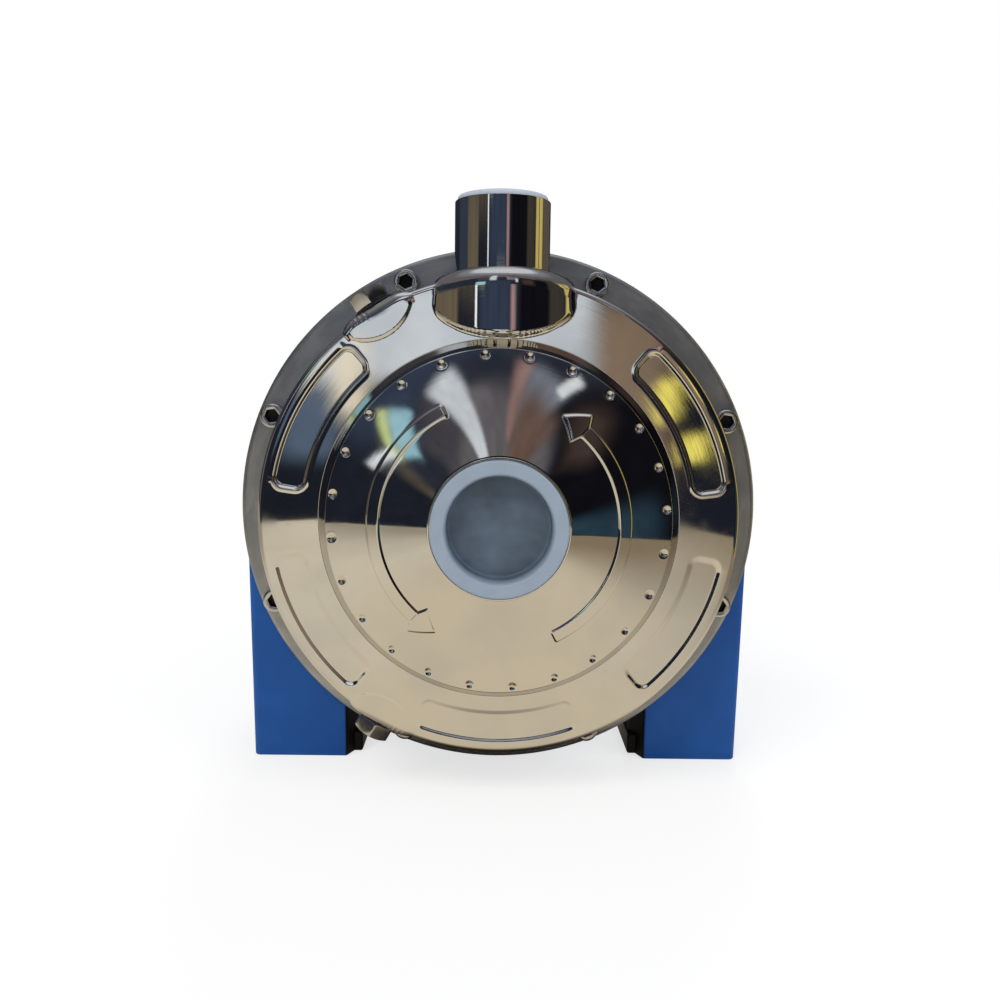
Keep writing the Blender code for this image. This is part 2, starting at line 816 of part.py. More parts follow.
def build_shaft():
    nose = -hub_reach - washer_thickness - nut_height - 3 * gap
    shoulder = front_bearing_place + front_bearing_width + gap
    tail = rear_bearing_place - gap
    collar = -back_shroud + gap
    run_end = front_bearing_place - seal_run
    outline = [(0, nose), (thread_radius - shaft_chamfer, nose), (thread_radius, nose + shaft_chamfer),
               (thread_radius, -hub_reach), (impeller_seat, -hub_reach), (impeller_seat, collar),
               (seal_seat_radius, collar), (seal_seat_radius, run_end - 1.0), (front_journal, run_end),
               (front_journal, shoulder), (shaft_core, shoulder), (shaft_core, tail), (rear_journal, tail),
               (rear_journal, fan_start - 1.0), (fan_seat, fan_start - 1.0), (fan_seat, shaft_end - 1.0),
               (fan_seat - 1.0, shaft_end), (0, shaft_end)]
    shaft = turned("shaft", outline, 12, dark_steel)
    return combine(shaft, keyway("shaft_keyway"))


def build_seal():
    floor = -cover_depth + seal_cup_depth - gap
    outside = seal_cup_radius - gap
    top = floor - seat_height
    seat = [(seat_bore, floor), (outside, floor), (outside, top + seat_lip), (face_radius, top + seat_lip),
            (face_radius, top), (seat_bore, top)]
    turned("seal_seat", seat, 16, ceramic)
    high = top - gap
    bore = seal_seat_radius + gap
    nose = face_radius - face_step
    face = [(bore, high), (nose, high), (nose, high - face_step), (face_radius, high - face_step),
            (face_radius, high - face_height), (bore, high - face_height)]
    turned("seal_ring", face, 16, carbon)
    build_spring(-back_shroud + gap + spring_wire, high - face_height - gap - spring_wire)


def build_spring(low, high):
    curve = bpy.data.curves.new("seal_spring", "CURVE")
    curve.dimensions = "3D"
    curve.bevel_depth = spring_wire * mm
    curve.bevel_resolution = 0
    curve.use_fill_caps = True
    steps = 10 * spring_turns
    coil = curve.splines.new("POLY")
    coil.points.add(steps)
    for k, point in enumerate(coil.points):
        angle = 2 * pi * spring_turns * k / steps
        h = low + (high - low) * k / steps
        point.co = (spring_radius * cos(angle) * mm, spring_radius * sin(angle) * mm, h * mm, 1.0)
    curve.materials.append(dark_steel)
    spring = bpy.data.objects.new("seal_spring", curve)
    spring.matrix_world = shaft_frame
    bpy.context.collection.objects.link(spring)


def build_bearing(label, bore, outer, place, width):
    # Two rings with a raceway each, and the balls joined by their cage.
    middle = place + width / 2
    pitch = (bore + outer) / 2
    ball = (outer - bore) * ball_share
    inner_face = pitch - ball * land_share
    outer_face = pitch + ball * land_share
    track = ball + gap
    open_angle = acos(land_share * ball / track) * 180 / pi
    race = arc((pitch, middle), track, 180 - open_angle, 180 + open_angle, 3)
    back = place + width
    inner = [(bore, place), (bore, back), (inner_face, back)] + race + [(inner_face, place)]
    turned(label + "_bearing_inner_ring", inner, 12, brushed)
    race = arc((pitch, middle), track, -open_angle, open_angle, 3)
    ring = [(outer, place), (outer_face, place)] + race + [(outer_face, back), (outer, back)]
    turned(label + "_bearing_outer_ring", ring, 12, brushed)
    half = ball * land_share / 2
    cage = rectangle(pitch - half, pitch + half, middle - cage_half_width, middle + cage_half_width)
    cage_ring = turned(label + "_bearing_balls", cage, 12, brushed)
    bm = bmesh.new()
    for k in range(ball_count):
        angle = 2 * pi * (k + 0.5) / ball_count
        place_ball = Matrix.Translation((pitch * cos(angle) * mm, pitch * sin(angle) * mm, middle * mm))
        bmesh.ops.create_icosphere(bm, subdivisions=1, radius=ball * mm, matrix=place_ball)
    combine(cage_ring, add(label + "_balls", bm, None, shaft_frame), "UNION")


def build_splash_ring():
    low = front_bearing_place - splash_place
    bore = front_journal + gap
    body = bore + splash_body
    half = splash_width / 2
    lip = body + splash_lip
    outline = [(bore, low), (body, low), (lip, low + half - 1), (lip - splash_lip / 2, low + half),
               (body, low + half), (body, low + splash_width), (bore, low + splash_width)]
    turned("splash_ring", outline, 12, rubber)


def build_bracket():
    # One casting: flange, lantern cone, web with the front bearing's seat, and a spigot for the frame.
    back = bracket_face + bracket_flange
    seat_front = front_bearing_place - gap
    boss = front_bearing_outer + gap
    rear = frame_start
    neck = bracket_neck
    spigot = frame_bore - gap
    inside = spigot - spigot_wall
    web = seat_front + web_thickness
    lip = seat_front - seat_lip_depth
    outline = [(bracket_bore, bracket_face), (bracket_radius, bracket_face), (bracket_radius, back),
               (bracket_bore + bracket_wall, back), (neck, rear - neck_length), (neck, rear), (spigot, rear),
               (spigot, rear + spigot_length), (inside, rear + spigot_length), (inside, web),
               (boss + seat_wall + wall_taper, web), (boss + seat_wall, seat_front + front_bearing_width),
               (boss, seat_front + front_bearing_width), (boss, seat_front), (boss - seat_wall, seat_front),
               (boss - seat_wall, lip), (boss + seat_wall + wall_taper, lip),
               (neck - bracket_wall - seat_lip_depth, seat_front), (bracket_bore - wall_taper, back),
               (bracket_bore, back - seat_lip_depth)]
    bracket = turned("motor_bracket", outline, 24, blue)
    combine(bracket, build_leg("right_leg", 1), "UNION")
    combine(bracket, build_leg("left_leg", -1), "UNION")
    holes = screw_angles(tie_rod_count)
    bottom = rear - tie_rod_grip - 1.0
    drill = tie_rod_radius + gap
    combine(bracket, hole_pattern("rod_holes", holes, tie_rod_circle, drill, bottom, rear + cut_over))
    return bracket


def build_leg(name, side):
    # A drafted front wall, a side wall that falls away rearwards, and a sole with a slotted hole.
    soles = Matrix.Translation((0, face_y * mm, 0))
    front = [(side * leg_inner_front, bracket_face), (side * sole_half_width, bracket_face),
             (side * sole_half_width, bracket_face + leg_depth), (side * leg_inner_rear, bracket_face + leg_depth)]
    leg = prism(name, front, 0, leg_top, frame=soles, spread=leg_draft)
    bm = bmesh.new()
    tail = bracket_face + sole_length
    back = bracket_face + leg_start
    profile = [(back, 0), (tail, 0), (tail, leg_tail),
               (bracket_face + leg_depth + leg_knee_back, leg_top - leg_knee_drop), (back, leg_top - leg_start)]
    walls = []
    for x, slope in ((sole_half_width - leg_side, 0.0), (sole_half_width, leg_draft / leg_top)):
        walls.append([bm.verts.new((side * (x + slope * z) * mm, y * mm, z * mm)) for y, z in profile])
    bm.faces.new(walls[0])
    bm.faces.new(walls[1])
    for (a, b), (c, d) in zip(pairs(walls[0]), pairs(walls[1])):
        bm.faces.new((a, b, d, c))
    combine(leg, add(name + "_side", bm, None, soles), "UNION")
    outside = sole_half_width - sole_trim
    back = bracket_face + leg_depth / 2
    sole = [(side * leg_inner_rear, back), (side * outside, back), (side * outside, tail),
            (side * (leg_inner_rear + sole_corner), tail), (side * leg_inner_rear, tail - sole_corner)]
    combine(leg, prism(name + "_sole", sole, 0, sole_thickness, frame=soles), "UNION")
    middle = bracket_face + slot_place
    x = side * (leg_inner_rear + sole_half_width - leg_side) / 2
    slot = [(x + a, middle + slot_length / 2 + b) for a, b in arc((0, 0), slot_radius, 0, 180, 4)]
    slot += [(x + a, middle - slot_length / 2 + b) for a, b in arc((0, 0), slot_radius, 180, 360, 4)]
    combine(leg, prism(name + "_slot", slot, -cut_over, sole_thickness + cut_over, frame=soles))
    return leg


def build_frame():
    # The motor's finned tube, drawn as one outline, with a flat pad on top for the terminal box.
    low, high = frame_start + gap, frame_end
    outline = []
    half = fin_thickness / 2
    for k in range(fin_count):
        middle = 2 * pi * (k + 0.5) / fin_count
        for radius, side in ((frame_valley, -1), (fin_radius, -1), (fin_radius, 1), (frame_valley, 1)):
            spread = (half + (fin_flare if radius == frame_valley else 0.0)) / radius
            outline.append((radius * cos(middle + side * spread), radius * sin(middle + side * spread)))
    frame = prism("motor_frame", outline, low, high, blue)
    half = box_width / 2 - 2 * box_inset
    pad = rectangle(-half, half, -pad_level, -frame_valley + pad_sink)
    place = box_start() + box_inset
    combine(frame, prism("box_pad", pad, place, place + box_length - 2 * box_inset), "UNION")
    combine(frame, prism("frame_bore", circle(frame_bore + gap, 24), low - cut_over, high + cut_over))
    return frame


def box_start():
    return frame_start + box_place


def build_windings():
    outer = frame_bore - gap
    stator = [(stator_bore, core_start), (outer, core_start), (outer, core_end), (stator_bore, core_end)]
    turned("stator_core", stator, 16, core_steel)
    front_low = core_start - gap - winding_length
    for name, low in (("front_winding", front_low), ("rear_winding", core_end + gap)):
        high = low + winding_length
        edge = winding_chamfer
        outline = [(winding_inner, low + edge), (winding_inner + edge, low), (winding_outer - edge, low),
                   (winding_outer, low + edge), (winding_outer - 1, high), (winding_inner + 1, high)]
        turned(name, outline, 14, copper)
    core = stator_bore - air_gap
    bore = shaft_core + gap
    inside = core - rotor_ring_width
    low, high = core_start - rotor_ring_length, core_end + rotor_ring_length
    rotor = [(bore, core_start), (inside, core_start), (inside, low), (core, low), (core, high), (inside, high),
             (inside, core_end), (bore, core_end)]
    turned("rotor_core", rotor, 14, core_steel)


def build_end_shield():
    spigot = frame_bore - gap
    bore = rear_bearing_outer + gap
    seat = rear_bearing_place + rear_bearing_width + gap
    boss = bore + shield_boss
    inner = rear_bearing_place - 1
    inside = spigot - spigot_wall
    lip = frame_end - spigot_length
    hole = rear_journal + 1.0
    outline = [(bore, inner), (boss, inner), (boss + 1, shield_start + 2 * shield_step),
               (inside, shield_start + shield_step), (inside, lip), (spigot, lip), (spigot, shield_start),
               (shield_radius, shield_start), (shield_radius, shield_end - shield_step),
               (shield_radius - shield_step, shield_end), (hole, shield_end), (hole, seat), (bore, seat)]
    shield = turned("end_shield", outline, 16, blue)
    holes = screw_angles(tie_rod_count)
    low, high = shield_start - cut_over, shield_end + cut_over
    combine(shield, hole_pattern("shield_holes", holes, tie_rod_circle, tie_rod_radius + gap, low, high))
    low, high = shield_radius - cover_screw_reach - 2, shield_radius + cut_over
    tap = circle(small_screw_radius + gap, 8)
    for k in range(cover_screw_count):
        frame = radial_frame(cover_screw_angle(k), (shield_start + shield_end) / 2)
        combine(shield, prism(f"cover_tap_{k + 1}", tap, low, high, frame=frame))
    return shield


def cover_screw_angle(k):
    return 360.0 * k / cover_screw_count + 60.0


def build_tie_rods():
    head = shield_end + gap
    places = (head + tie_rod_head_height, head, frame_start - tie_rod_grip)
    for k, angle in enumerate(screw_angles(tie_rod_count)):
        screw(f"tie_rod_{k + 1}", on_circle(angle, tie_rod_circle), tie_rod_head, tie_rod_radius, places)


def build_fan():
    bore = fan_seat + gap
    top = fan_start + fan_blade_height
    disc = [(bore, fan_start), (fan_radius, fan_start), (fan_radius, fan_start + fan_sheet),
            (fan_hub, fan_start + fan_hub_sheet), (fan_hub, top - 1), (bore, top - 1)]
    fan = turned("fan", disc, 16, black_plastic)
    bm = bmesh.new()
    for k in range(fan_blades):
        blade = rectangle(fan_hub - fan_sheet, fan_radius - 1, -fan_blade_half, fan_blade_half)
        extrude_outline(bm, blade, fan_start + fan_sheet / 2, top, turn=360 * k / fan_blades)
    return combine(fan, add("fan_blades", bm, None, shaft_frame), "UNION")


def build_fan_cover():
    corner = (cover_radius - fan_cover_corner, rear_reach - fan_cover_corner)
    line = [(cover_radius, shield_start + 1.0)] + arc(corner, fan_cover_corner, 0, 90, 3) + [(0, rear_reach)]
    inner = [(cover_radius - fan_cover_sheet, shield_start + 1.0)]
    inner += arc(corner, fan_cover_corner - fan_cover_sheet, 0, 90, 3) + [(0, rear_reach - fan_cover_sheet)]
    cover = turned("fan_cover", line + inner[::-1], 24, blue)
    bm = bmesh.new()
    for k in range(grille_slots):
        start = grille_inner if k % 2 else grille_inner + grille_stagger
        slot = rectangle(start, grille_outer, -grille_slot / 2, grille_slot / 2)
        low, high = rear_reach - fan_cover_sheet - cut_over, rear_reach + cut_over
        extrude_outline(bm, slot, low, high, turn=360 * k / grille_slots)
    combine(cover, add("grille_slots", bm, None, shaft_frame))
    level = (shield_start + shield_end) / 2
    low, high = cover_radius - 2 * cut_over, cover_radius + cut_over
    hole = circle(small_screw_radius + gap, 8)
    for k in range(cover_screw_count):
        frame = radial_frame(cover_screw_angle(k), level)
        combine(cover, prism(f"cover_hole_{k + 1}", hole, low, high, frame=frame))
        seat = cover_radius + gap
        places = (seat + small_screw_rise, seat, shield_radius - cover_screw_reach)
        screw(f"fan_cover_screw_{k + 1}", frame, small_screw_head, small_screw_radius, places)
    return cover


def build_terminal_box():
    low = pad_level + gap
    high = low + box_height
    start = box_start()
    frame = Matrix.Translation((0, face_y * mm, axis_height * mm))
    half = box_width / 2
    outline = rectangle(-half, half, start, start + box_length)
    box = prism("terminal_box", outline, low, high, black_plastic, frame)
    room = rectangle(-half + box_wall, half - box_wall, start + box_wall, start + box_length - box_wall)
    combine(box, prism("box_room", room, low + box_wall, high + cut_over, frame=frame))
    corners = []
    bm = bmesh.new()
    for x in (-half + post_place, half - post_place):
        for y in (start + post_place, start + box_length - post_place):
            corners.append((x, y))
            post = rectangle(x - post_half, x + post_half, y - post_half, y + post_half)
            extrude_outline(bm, post, low + 1, high)
    combine(box, add("box_posts", bm, None, frame), "UNION")
    combine(box, drilled("box_taps", corners, high - 4 * cut_over, high + cut_over, frame))
    edge = half + lid_overhang
    lid_low = high + gap
    outline = rectangle(-edge, edge, start - lid_overhang, start + box_length + lid_overhang)
    lid = prism("terminal_lid", outline, lid_low, lid_low + lid_height, black_plastic, frame)
    inside = rectangle(-half + lid_room_side, half - lid_room_side, start + lid_room_end,
                       start + box_length - lid_room_end)
    combine(lid, prism("lid_room", inside, lid_low - cut_over, lid_low + lid_height - box_wall, frame=frame))
    combine(lid, drilled("lid_holes", corners, lid_low - cut_over, lid_low + lid_height + cut_over, frame))
    for k, (x, y) in enumerate(corners):
        place = frame @ Matrix.Translation((x * mm, y * mm, 0))
        top = lid_low + lid_height + gap
        places = (top + small_screw_rise, top, high - 3 * cut_over)
        screw(f"lid_screw_{k + 1}", place, small_screw_head, small_screw_radius, places)
    middle = start + box_length / 2
    build_gland(box, half, middle, low + gland_level)
    half = board_length / 2
    board = rectangle(-board_half_width, board_half_width, middle - half, middle + half)
    board_low = low + box_wall + gap
    prism("terminal_board", board, board_low, board_low + board_height, ceramic, frame)


def build_gland(box, x, y, level):
    # Cable gland through the box's side wall: thread, hexagon and domed nut, with the cord's hole.
    side = Matrix.Translation((0, (face_y + y) * mm, (axis_height + level) * mm))
    side = side @ Matrix.Rotation(pi / 2, 4, "Y")
    thread = gland_radius - 1
    nut = gland_radius + 1
    dome = 2 * box_wall - 1
    combine(box, prism("gland_hole", circle(thread + gap, 16), x - 2 * cut_over, x + cut_over, frame=side))
    inner = x - box_wall - cut_over
    outline = [(gland_bore, inner), (thread, inner), (thread, x + gland_collar - 1),
               (nut, x + gland_collar - 1), (nut, x + gland_reach - dome), (nut - dome, x + gland_reach),
               (gland_bore, x + gland_reach)]
    gland = turned("cable_gland", outline, 12, black_plastic, side)
    collar = prism("gland_collar", hexagon(gland_flats), x + gap, x + gland_collar, frame=side)
    core = circle(gland_bore + 2, 12)
    combine(collar, prism("gland_core", core, x - cut_over, x + gland_collar + cut_over, frame=side))
    return combine(gland, collar, "UNION")


def main():
    casing = build_casing()
    ring = build_ring()
    cover = build_cover()
    bracket = build_bracket()
    holes = hole_pattern("screw_holes", screw_angles(screw_count), bolt_circle, screw_radius + gap, -cut_over,
                         bracket_face + bracket_flange + cut_over)
    for clamped in (casing, ring, cover, bracket):
        combine(clamped, holes)
    build_ports()
    build_caps()
    build_screws()
    build_plugs()
    build_suction_plate()
    build_impeller()
    build_impeller_fixings()
    build_shaft()
    build_seal()
    build_splash_ring()
    build_bearing("front", front_journal + gap, front_bearing_outer, front_bearing_place, front_bearing_width)
    build_bearing("rear", rear_journal + gap, rear_bearing_outer, rear_bearing_place, rear_bearing_width)
    build_frame()
    build_windings()
    build_end_shield()
    build_tie_rods()
    build_fan()
    build_fan_cover()
    build_terminal_box()


main()
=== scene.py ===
# Looks of a close-coupled centrifugal pump: mirror-polished pressed casing, satin clamping ring,
# painted cast bracket and finned motor. Lengths in the settings are millimetres, angles degrees.
import bpy
import numpy as np
from math import cos, pi, radians, sin, tan
from mathutils import Matrix, Vector


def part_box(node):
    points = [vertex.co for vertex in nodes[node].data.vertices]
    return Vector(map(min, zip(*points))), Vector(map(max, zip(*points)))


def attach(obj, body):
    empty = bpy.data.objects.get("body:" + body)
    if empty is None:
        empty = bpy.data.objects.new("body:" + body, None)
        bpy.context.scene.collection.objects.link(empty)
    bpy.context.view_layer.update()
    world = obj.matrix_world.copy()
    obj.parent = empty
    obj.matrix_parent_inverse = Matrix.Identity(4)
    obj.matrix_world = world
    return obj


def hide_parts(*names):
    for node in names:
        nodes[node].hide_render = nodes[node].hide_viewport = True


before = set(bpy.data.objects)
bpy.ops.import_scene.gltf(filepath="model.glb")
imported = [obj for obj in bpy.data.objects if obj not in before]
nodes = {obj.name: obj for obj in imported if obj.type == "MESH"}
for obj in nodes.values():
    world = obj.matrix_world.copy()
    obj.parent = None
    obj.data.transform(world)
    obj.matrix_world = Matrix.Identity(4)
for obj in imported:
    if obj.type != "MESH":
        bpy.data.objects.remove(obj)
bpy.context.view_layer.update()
mm = 0.001
ringLow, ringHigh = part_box("bolt_ring")
faceY = ringLow.y / mm  # the clamping ring's front face
axisZ = (ringLow.z + ringHigh.z) / 2 / mm  # the shaft's height
print("frame loaded: face at", round(faceY, 3), "mm, shaft at", round(axisZ, 3), "mm")

# Surfaces


def shaftPoint(r, h, turn):
    # Point at radius r, h behind the ring's face, turned clockwise from the top as seen from the front.
    r, h, turn = np.broadcast_arrays(r, h, turn)
    return np.stack([r * np.sin(turn), faceY + h, axisZ + r * np.cos(turn)], -1)


rightAxis, rearAxis, upAxis = np.eye(3)


def radialFrame(angle, depth):
    # Origin on the shaft line, depth in front of the face; third axis points outwards at a clock angle.
    a = radians(angle)
    origin = np.array([0.0, faceY - depth, axisZ])
    return origin, np.array([cos(a), 0, -sin(a)]), rearAxis, np.array([sin(a), 0, cos(a)])


def shaftFrame(angle=0.0, radius=0.0):
    # Third axis runs rearwards along the shaft, moved out to a radius at a clock angle.
    a = radians(angle)
    origin = np.array([radius * sin(a), faceY, axisZ + radius * cos(a)])
    return origin, np.array([cos(a), 0, -sin(a)]), np.array([sin(a), 0, cos(a)]), rearAxis


def uprightFrame(x, y, z):
    return np.array([x, y, z], float), rightAxis, rearAxis, upAxis


def sidewaysFrame(x, y, z):
    # Third axis points to the right.
    return np.array([x, y, z], float), rearAxis, upAxis, rightAxis


def placed(place, a, b, c):
    # origin + a * first axis + b * second axis + c * third axis
    origin, first, second, third = place
    a, b, c = np.broadcast_arrays(a, b, c)
    return origin + a[..., None] * first + b[..., None] * second + c[..., None] * third


def gridIndex(points):
    rows, columns = points.shape[:2]
    return np.arange(rows * columns).reshape(rows, columns)


def gridQuads(index):
    # The quads between the rows of a grid of indices whose columns go round.
    right = np.roll(index, -1, axis=1)
    return np.stack([index[:-1], index[1:], right[1:], right[:-1]], -1)


def lattice(points, closeRows=False, poles=(False, False)):
    # Faces of a grid whose columns go round; a pole row is one vertex, and its quads become triangles.
    index = gridIndex(points)
    for pole, row in zip(poles, (0, -1)):
        if pole:
            index[row] = index[row, 0]
    if closeRows:
        index = np.vstack([index, index[:1]])
    used, inverse = np.unique(gridQuads(index), return_inverse=True)
    quads = inverse.reshape(-1, 4)
    verts = points.reshape(-1, 3)[used]
    topPole = quads[:, 0] == quads[:, 3]
    endPole = quads[:, 1] == quads[:, 2]
    triangles = np.vstack([quads[topPole][:, [0, 1, 2]], quads[endPole][:, [0, 1, 3]]])
    return outward(verts, [quads[~(topPole | endPole)], triangles])


def outward(verts, faces):
    # Six times the signed volume is the sum of a . (b x c) over all triangles; negative means inside out.
    volume = 0.0
    for block in faces:
        for k in range(1, block.shape[1] - 1):
            a, b, c = verts[block[:, 0]], verts[block[:, k]], verts[block[:, k + 1]]
            volume += np.einsum("ij,ij->", a, np.cross(b, c))
    if volume < 0:
        faces = [block[:, ::-1] for block in faces]
    return verts, faces


def addPiece(name, parts, material, node, body="housing"):
    # Joins closed parts (vertices in millimetres, blocks of faces) into one object.
    verts, loops, totals, offset = [], [], [], 0
    for points, blocks in parts:
        verts.append(points)
        for faces in blocks:
            loops.append((faces + offset).ravel())
            totals.append(np.full(len(faces), faces.shape[1]))
        offset += len(points)
    verts, loops, totals = np.vstack(verts) * mm, np.concatenate(loops), np.concatenate(totals)
    starts = np.concatenate([[0], np.cumsum(totals)[:-1]])
    mesh = bpy.data.meshes.new(name)
    mesh.vertices.add(len(verts))
    mesh.vertices.foreach_set("co", verts.ravel().astype(np.float32))
    mesh.loops.add(len(loops))
    mesh.loops.foreach_set("vertex_index", loops.astype(np.int32))
    mesh.polygons.add(len(totals))
    mesh.polygons.foreach_set("loop_start", starts.astype(np.int32))
    mesh.polygons.foreach_set("loop_total", totals.astype(np.int32))
    mesh.update(calc_edges=True)
    mesh.validate()
    mesh.shade_smooth()
    mesh.set_sharp_from_angle(angle=radians(40))
    piece = bpy.data.objects.new(name, mesh)
    bpy.context.scene.collection.objects.link(piece)
    mesh.materials.append(material)
    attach(piece, body)
    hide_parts(node)
    return piece


def roundedLine(points, radius, steps=6, closed=True):
    # Every corner becomes an arc tangent to both sides, and each straight gets a point close to its ends.
    points = np.asarray(points, float)
    count = len(points)
    radius = np.broadcast_to(radius, count).astype(float)
    line = []
    for k in range(count):
        here = points[k]
        if not closed and k in (0, count - 1):
            line.append(here[None])
            continue
        back, ahead = points[k - 1] - here, points[(k + 1) % count] - here
        backLong, aheadLong = np.hypot(*back), np.hypot(*ahead)
        back, ahead = back / backLong, ahead / aheadLong
        corner = np.arccos(np.clip(back @ ahead, -1, 1))
        if corner > pi - 0.02 or radius[k] <= 0:
            line.append(here[None])
            continue
        cut = min(radius[k] / tan(corner / 2), 0.45 * backLong, 0.45 * aheadLong)
        size = cut * tan(corner / 2)
        middle = here + (back + ahead) / np.hypot(*(back + ahead)) * size / sin(corner / 2)
        first, last = here + back * cut - middle, here + ahead * cut - middle
        sweep = pi - corner
        t = np.linspace(0, 1, steps + 1)[:, None]
        arc = middle + (np.sin((1 - t) * sweep) * first + np.sin(t * sweep) * last) / sin(sweep)
        support = min(0.15, 0.1 * backLong, 0.1 * aheadLong)
        line.append(np.vstack([here + back * (cut + support), arc, here + ahead * (cut + support)]))
    return np.vstack(line)


def fullTurn(steps):
    return np.linspace(0, 2 * pi, steps, endpoint=False)


def lathe(profile, steps, place=None, loop=True):
    # The profile's (r, level) points turned round the third axis; it closes on itself or ends on the axis.
    turn = fullTurn(steps)[None]
    r, level = profile[:, :1], profile[:, 1:]
    points = placed(place or shaftFrame(), r * np.sin(turn), r * np.cos(turn), level + 0 * turn)
    return lattice(points, closeRows=loop, poles=(not loop, not loop))


def block(outline, low, high, place, edge=0.6, steps=4):
    # An outline carried along the third axis; its ends shrink along a quarter circle of the edge radius.
    outline = np.asarray(outline, float)
    t = np.linspace(0, pi / 2, steps + 1)
    inset = np.concatenate([edge * (1 - np.sin(t)), [0, 0], edge * (1 - np.cos(t))])
    level = np.concatenate([low + edge * (1 - np.cos(t)), [low + edge + 0.15, high - edge - 0.15],
                            high - edge * (1 - np.sin(t))])
    tangent = np.roll(outline, -1, 0) - np.roll(outline, 1, 0)
    tangent /= np.hypot(tangent[:, 0], tangent[:, 1])[:, None]
    area = np.sum(outline[:, 0] * np.roll(outline[:, 1], -1) - np.roll(outline[:, 0], -1) * outline[:, 1])
    normal = np.stack([tangent[:, 1], -tangent[:, 0]], -1) * (1 if area > 0 else -1)
    ring = outline[None] - inset[:, None, None] * normal[None]
    return closedStack(placed(place, ring[..., 0], ring[..., 1], level[:, None]))


def closedStack(points):
    # Rings of one outline joined side by side, the first and the last closed by a flat face.
    index = gridIndex(points)
    return outward(points.reshape(-1, 3), [gridQuads(index).reshape(-1, 4), index[:1], index[-1:, ::-1]])


def box(low, high, place, edge=1.5, corner=3.0):
    (x0, y0, z0), (x1, y1, z1) = low, high
    return block(roundedLine([(x0, y0), (x1, y0), (x1, y1), (x0, y1)], corner), z0, z1, place, edge)


def hexRadius(turn, flats, sharp):
    # Distance to a hexagon's side, its corners eased by a high power mean of the six sides.
    sides = np.arange(6) * pi / 3
    total = np.sum(np.clip(np.cos(turn[..., None] - sides), 0, 1) ** sharp, -1)
    return flats / 2 / total ** (1 / sharp)


def ringLattice(place, turn, rings):
    # Rings about the third axis, radius and level of each may change with the turn; both ends are poles.
    radius, level = [np.array([np.broadcast_to(value, turn.shape) for value in values])
                     for values in zip(*rings)]
    return lattice(placed(place, radius * np.sin(turn), radius * np.cos(turn), level), poles=(True, True))


def smoothStep(x, low, high):
    t = np.clip((x - low) / (high - low), 0, 1)
    return t * t * (3 - 2 * t)


# Materials


class Wire:
    # A socket whose sums and products add Math nodes.
    def __init__(self, shade, socket):
        self.shade, self.socket = shade, socket

    def __add__(self, other):
        return self.shade.maths("ADD", self, other)

    def __radd__(self, other):
        return self.shade.maths("ADD", other, self)

    def __sub__(self, other):
        return self.shade.maths("SUBTRACT", self, other)

    def __rsub__(self, other):
        return self.shade.maths("SUBTRACT", other, self)

    def __mul__(self, other):
        return self.shade.maths("MULTIPLY", self, other)

    def __rmul__(self, other):
        return self.shade.maths("MULTIPLY", other, self)


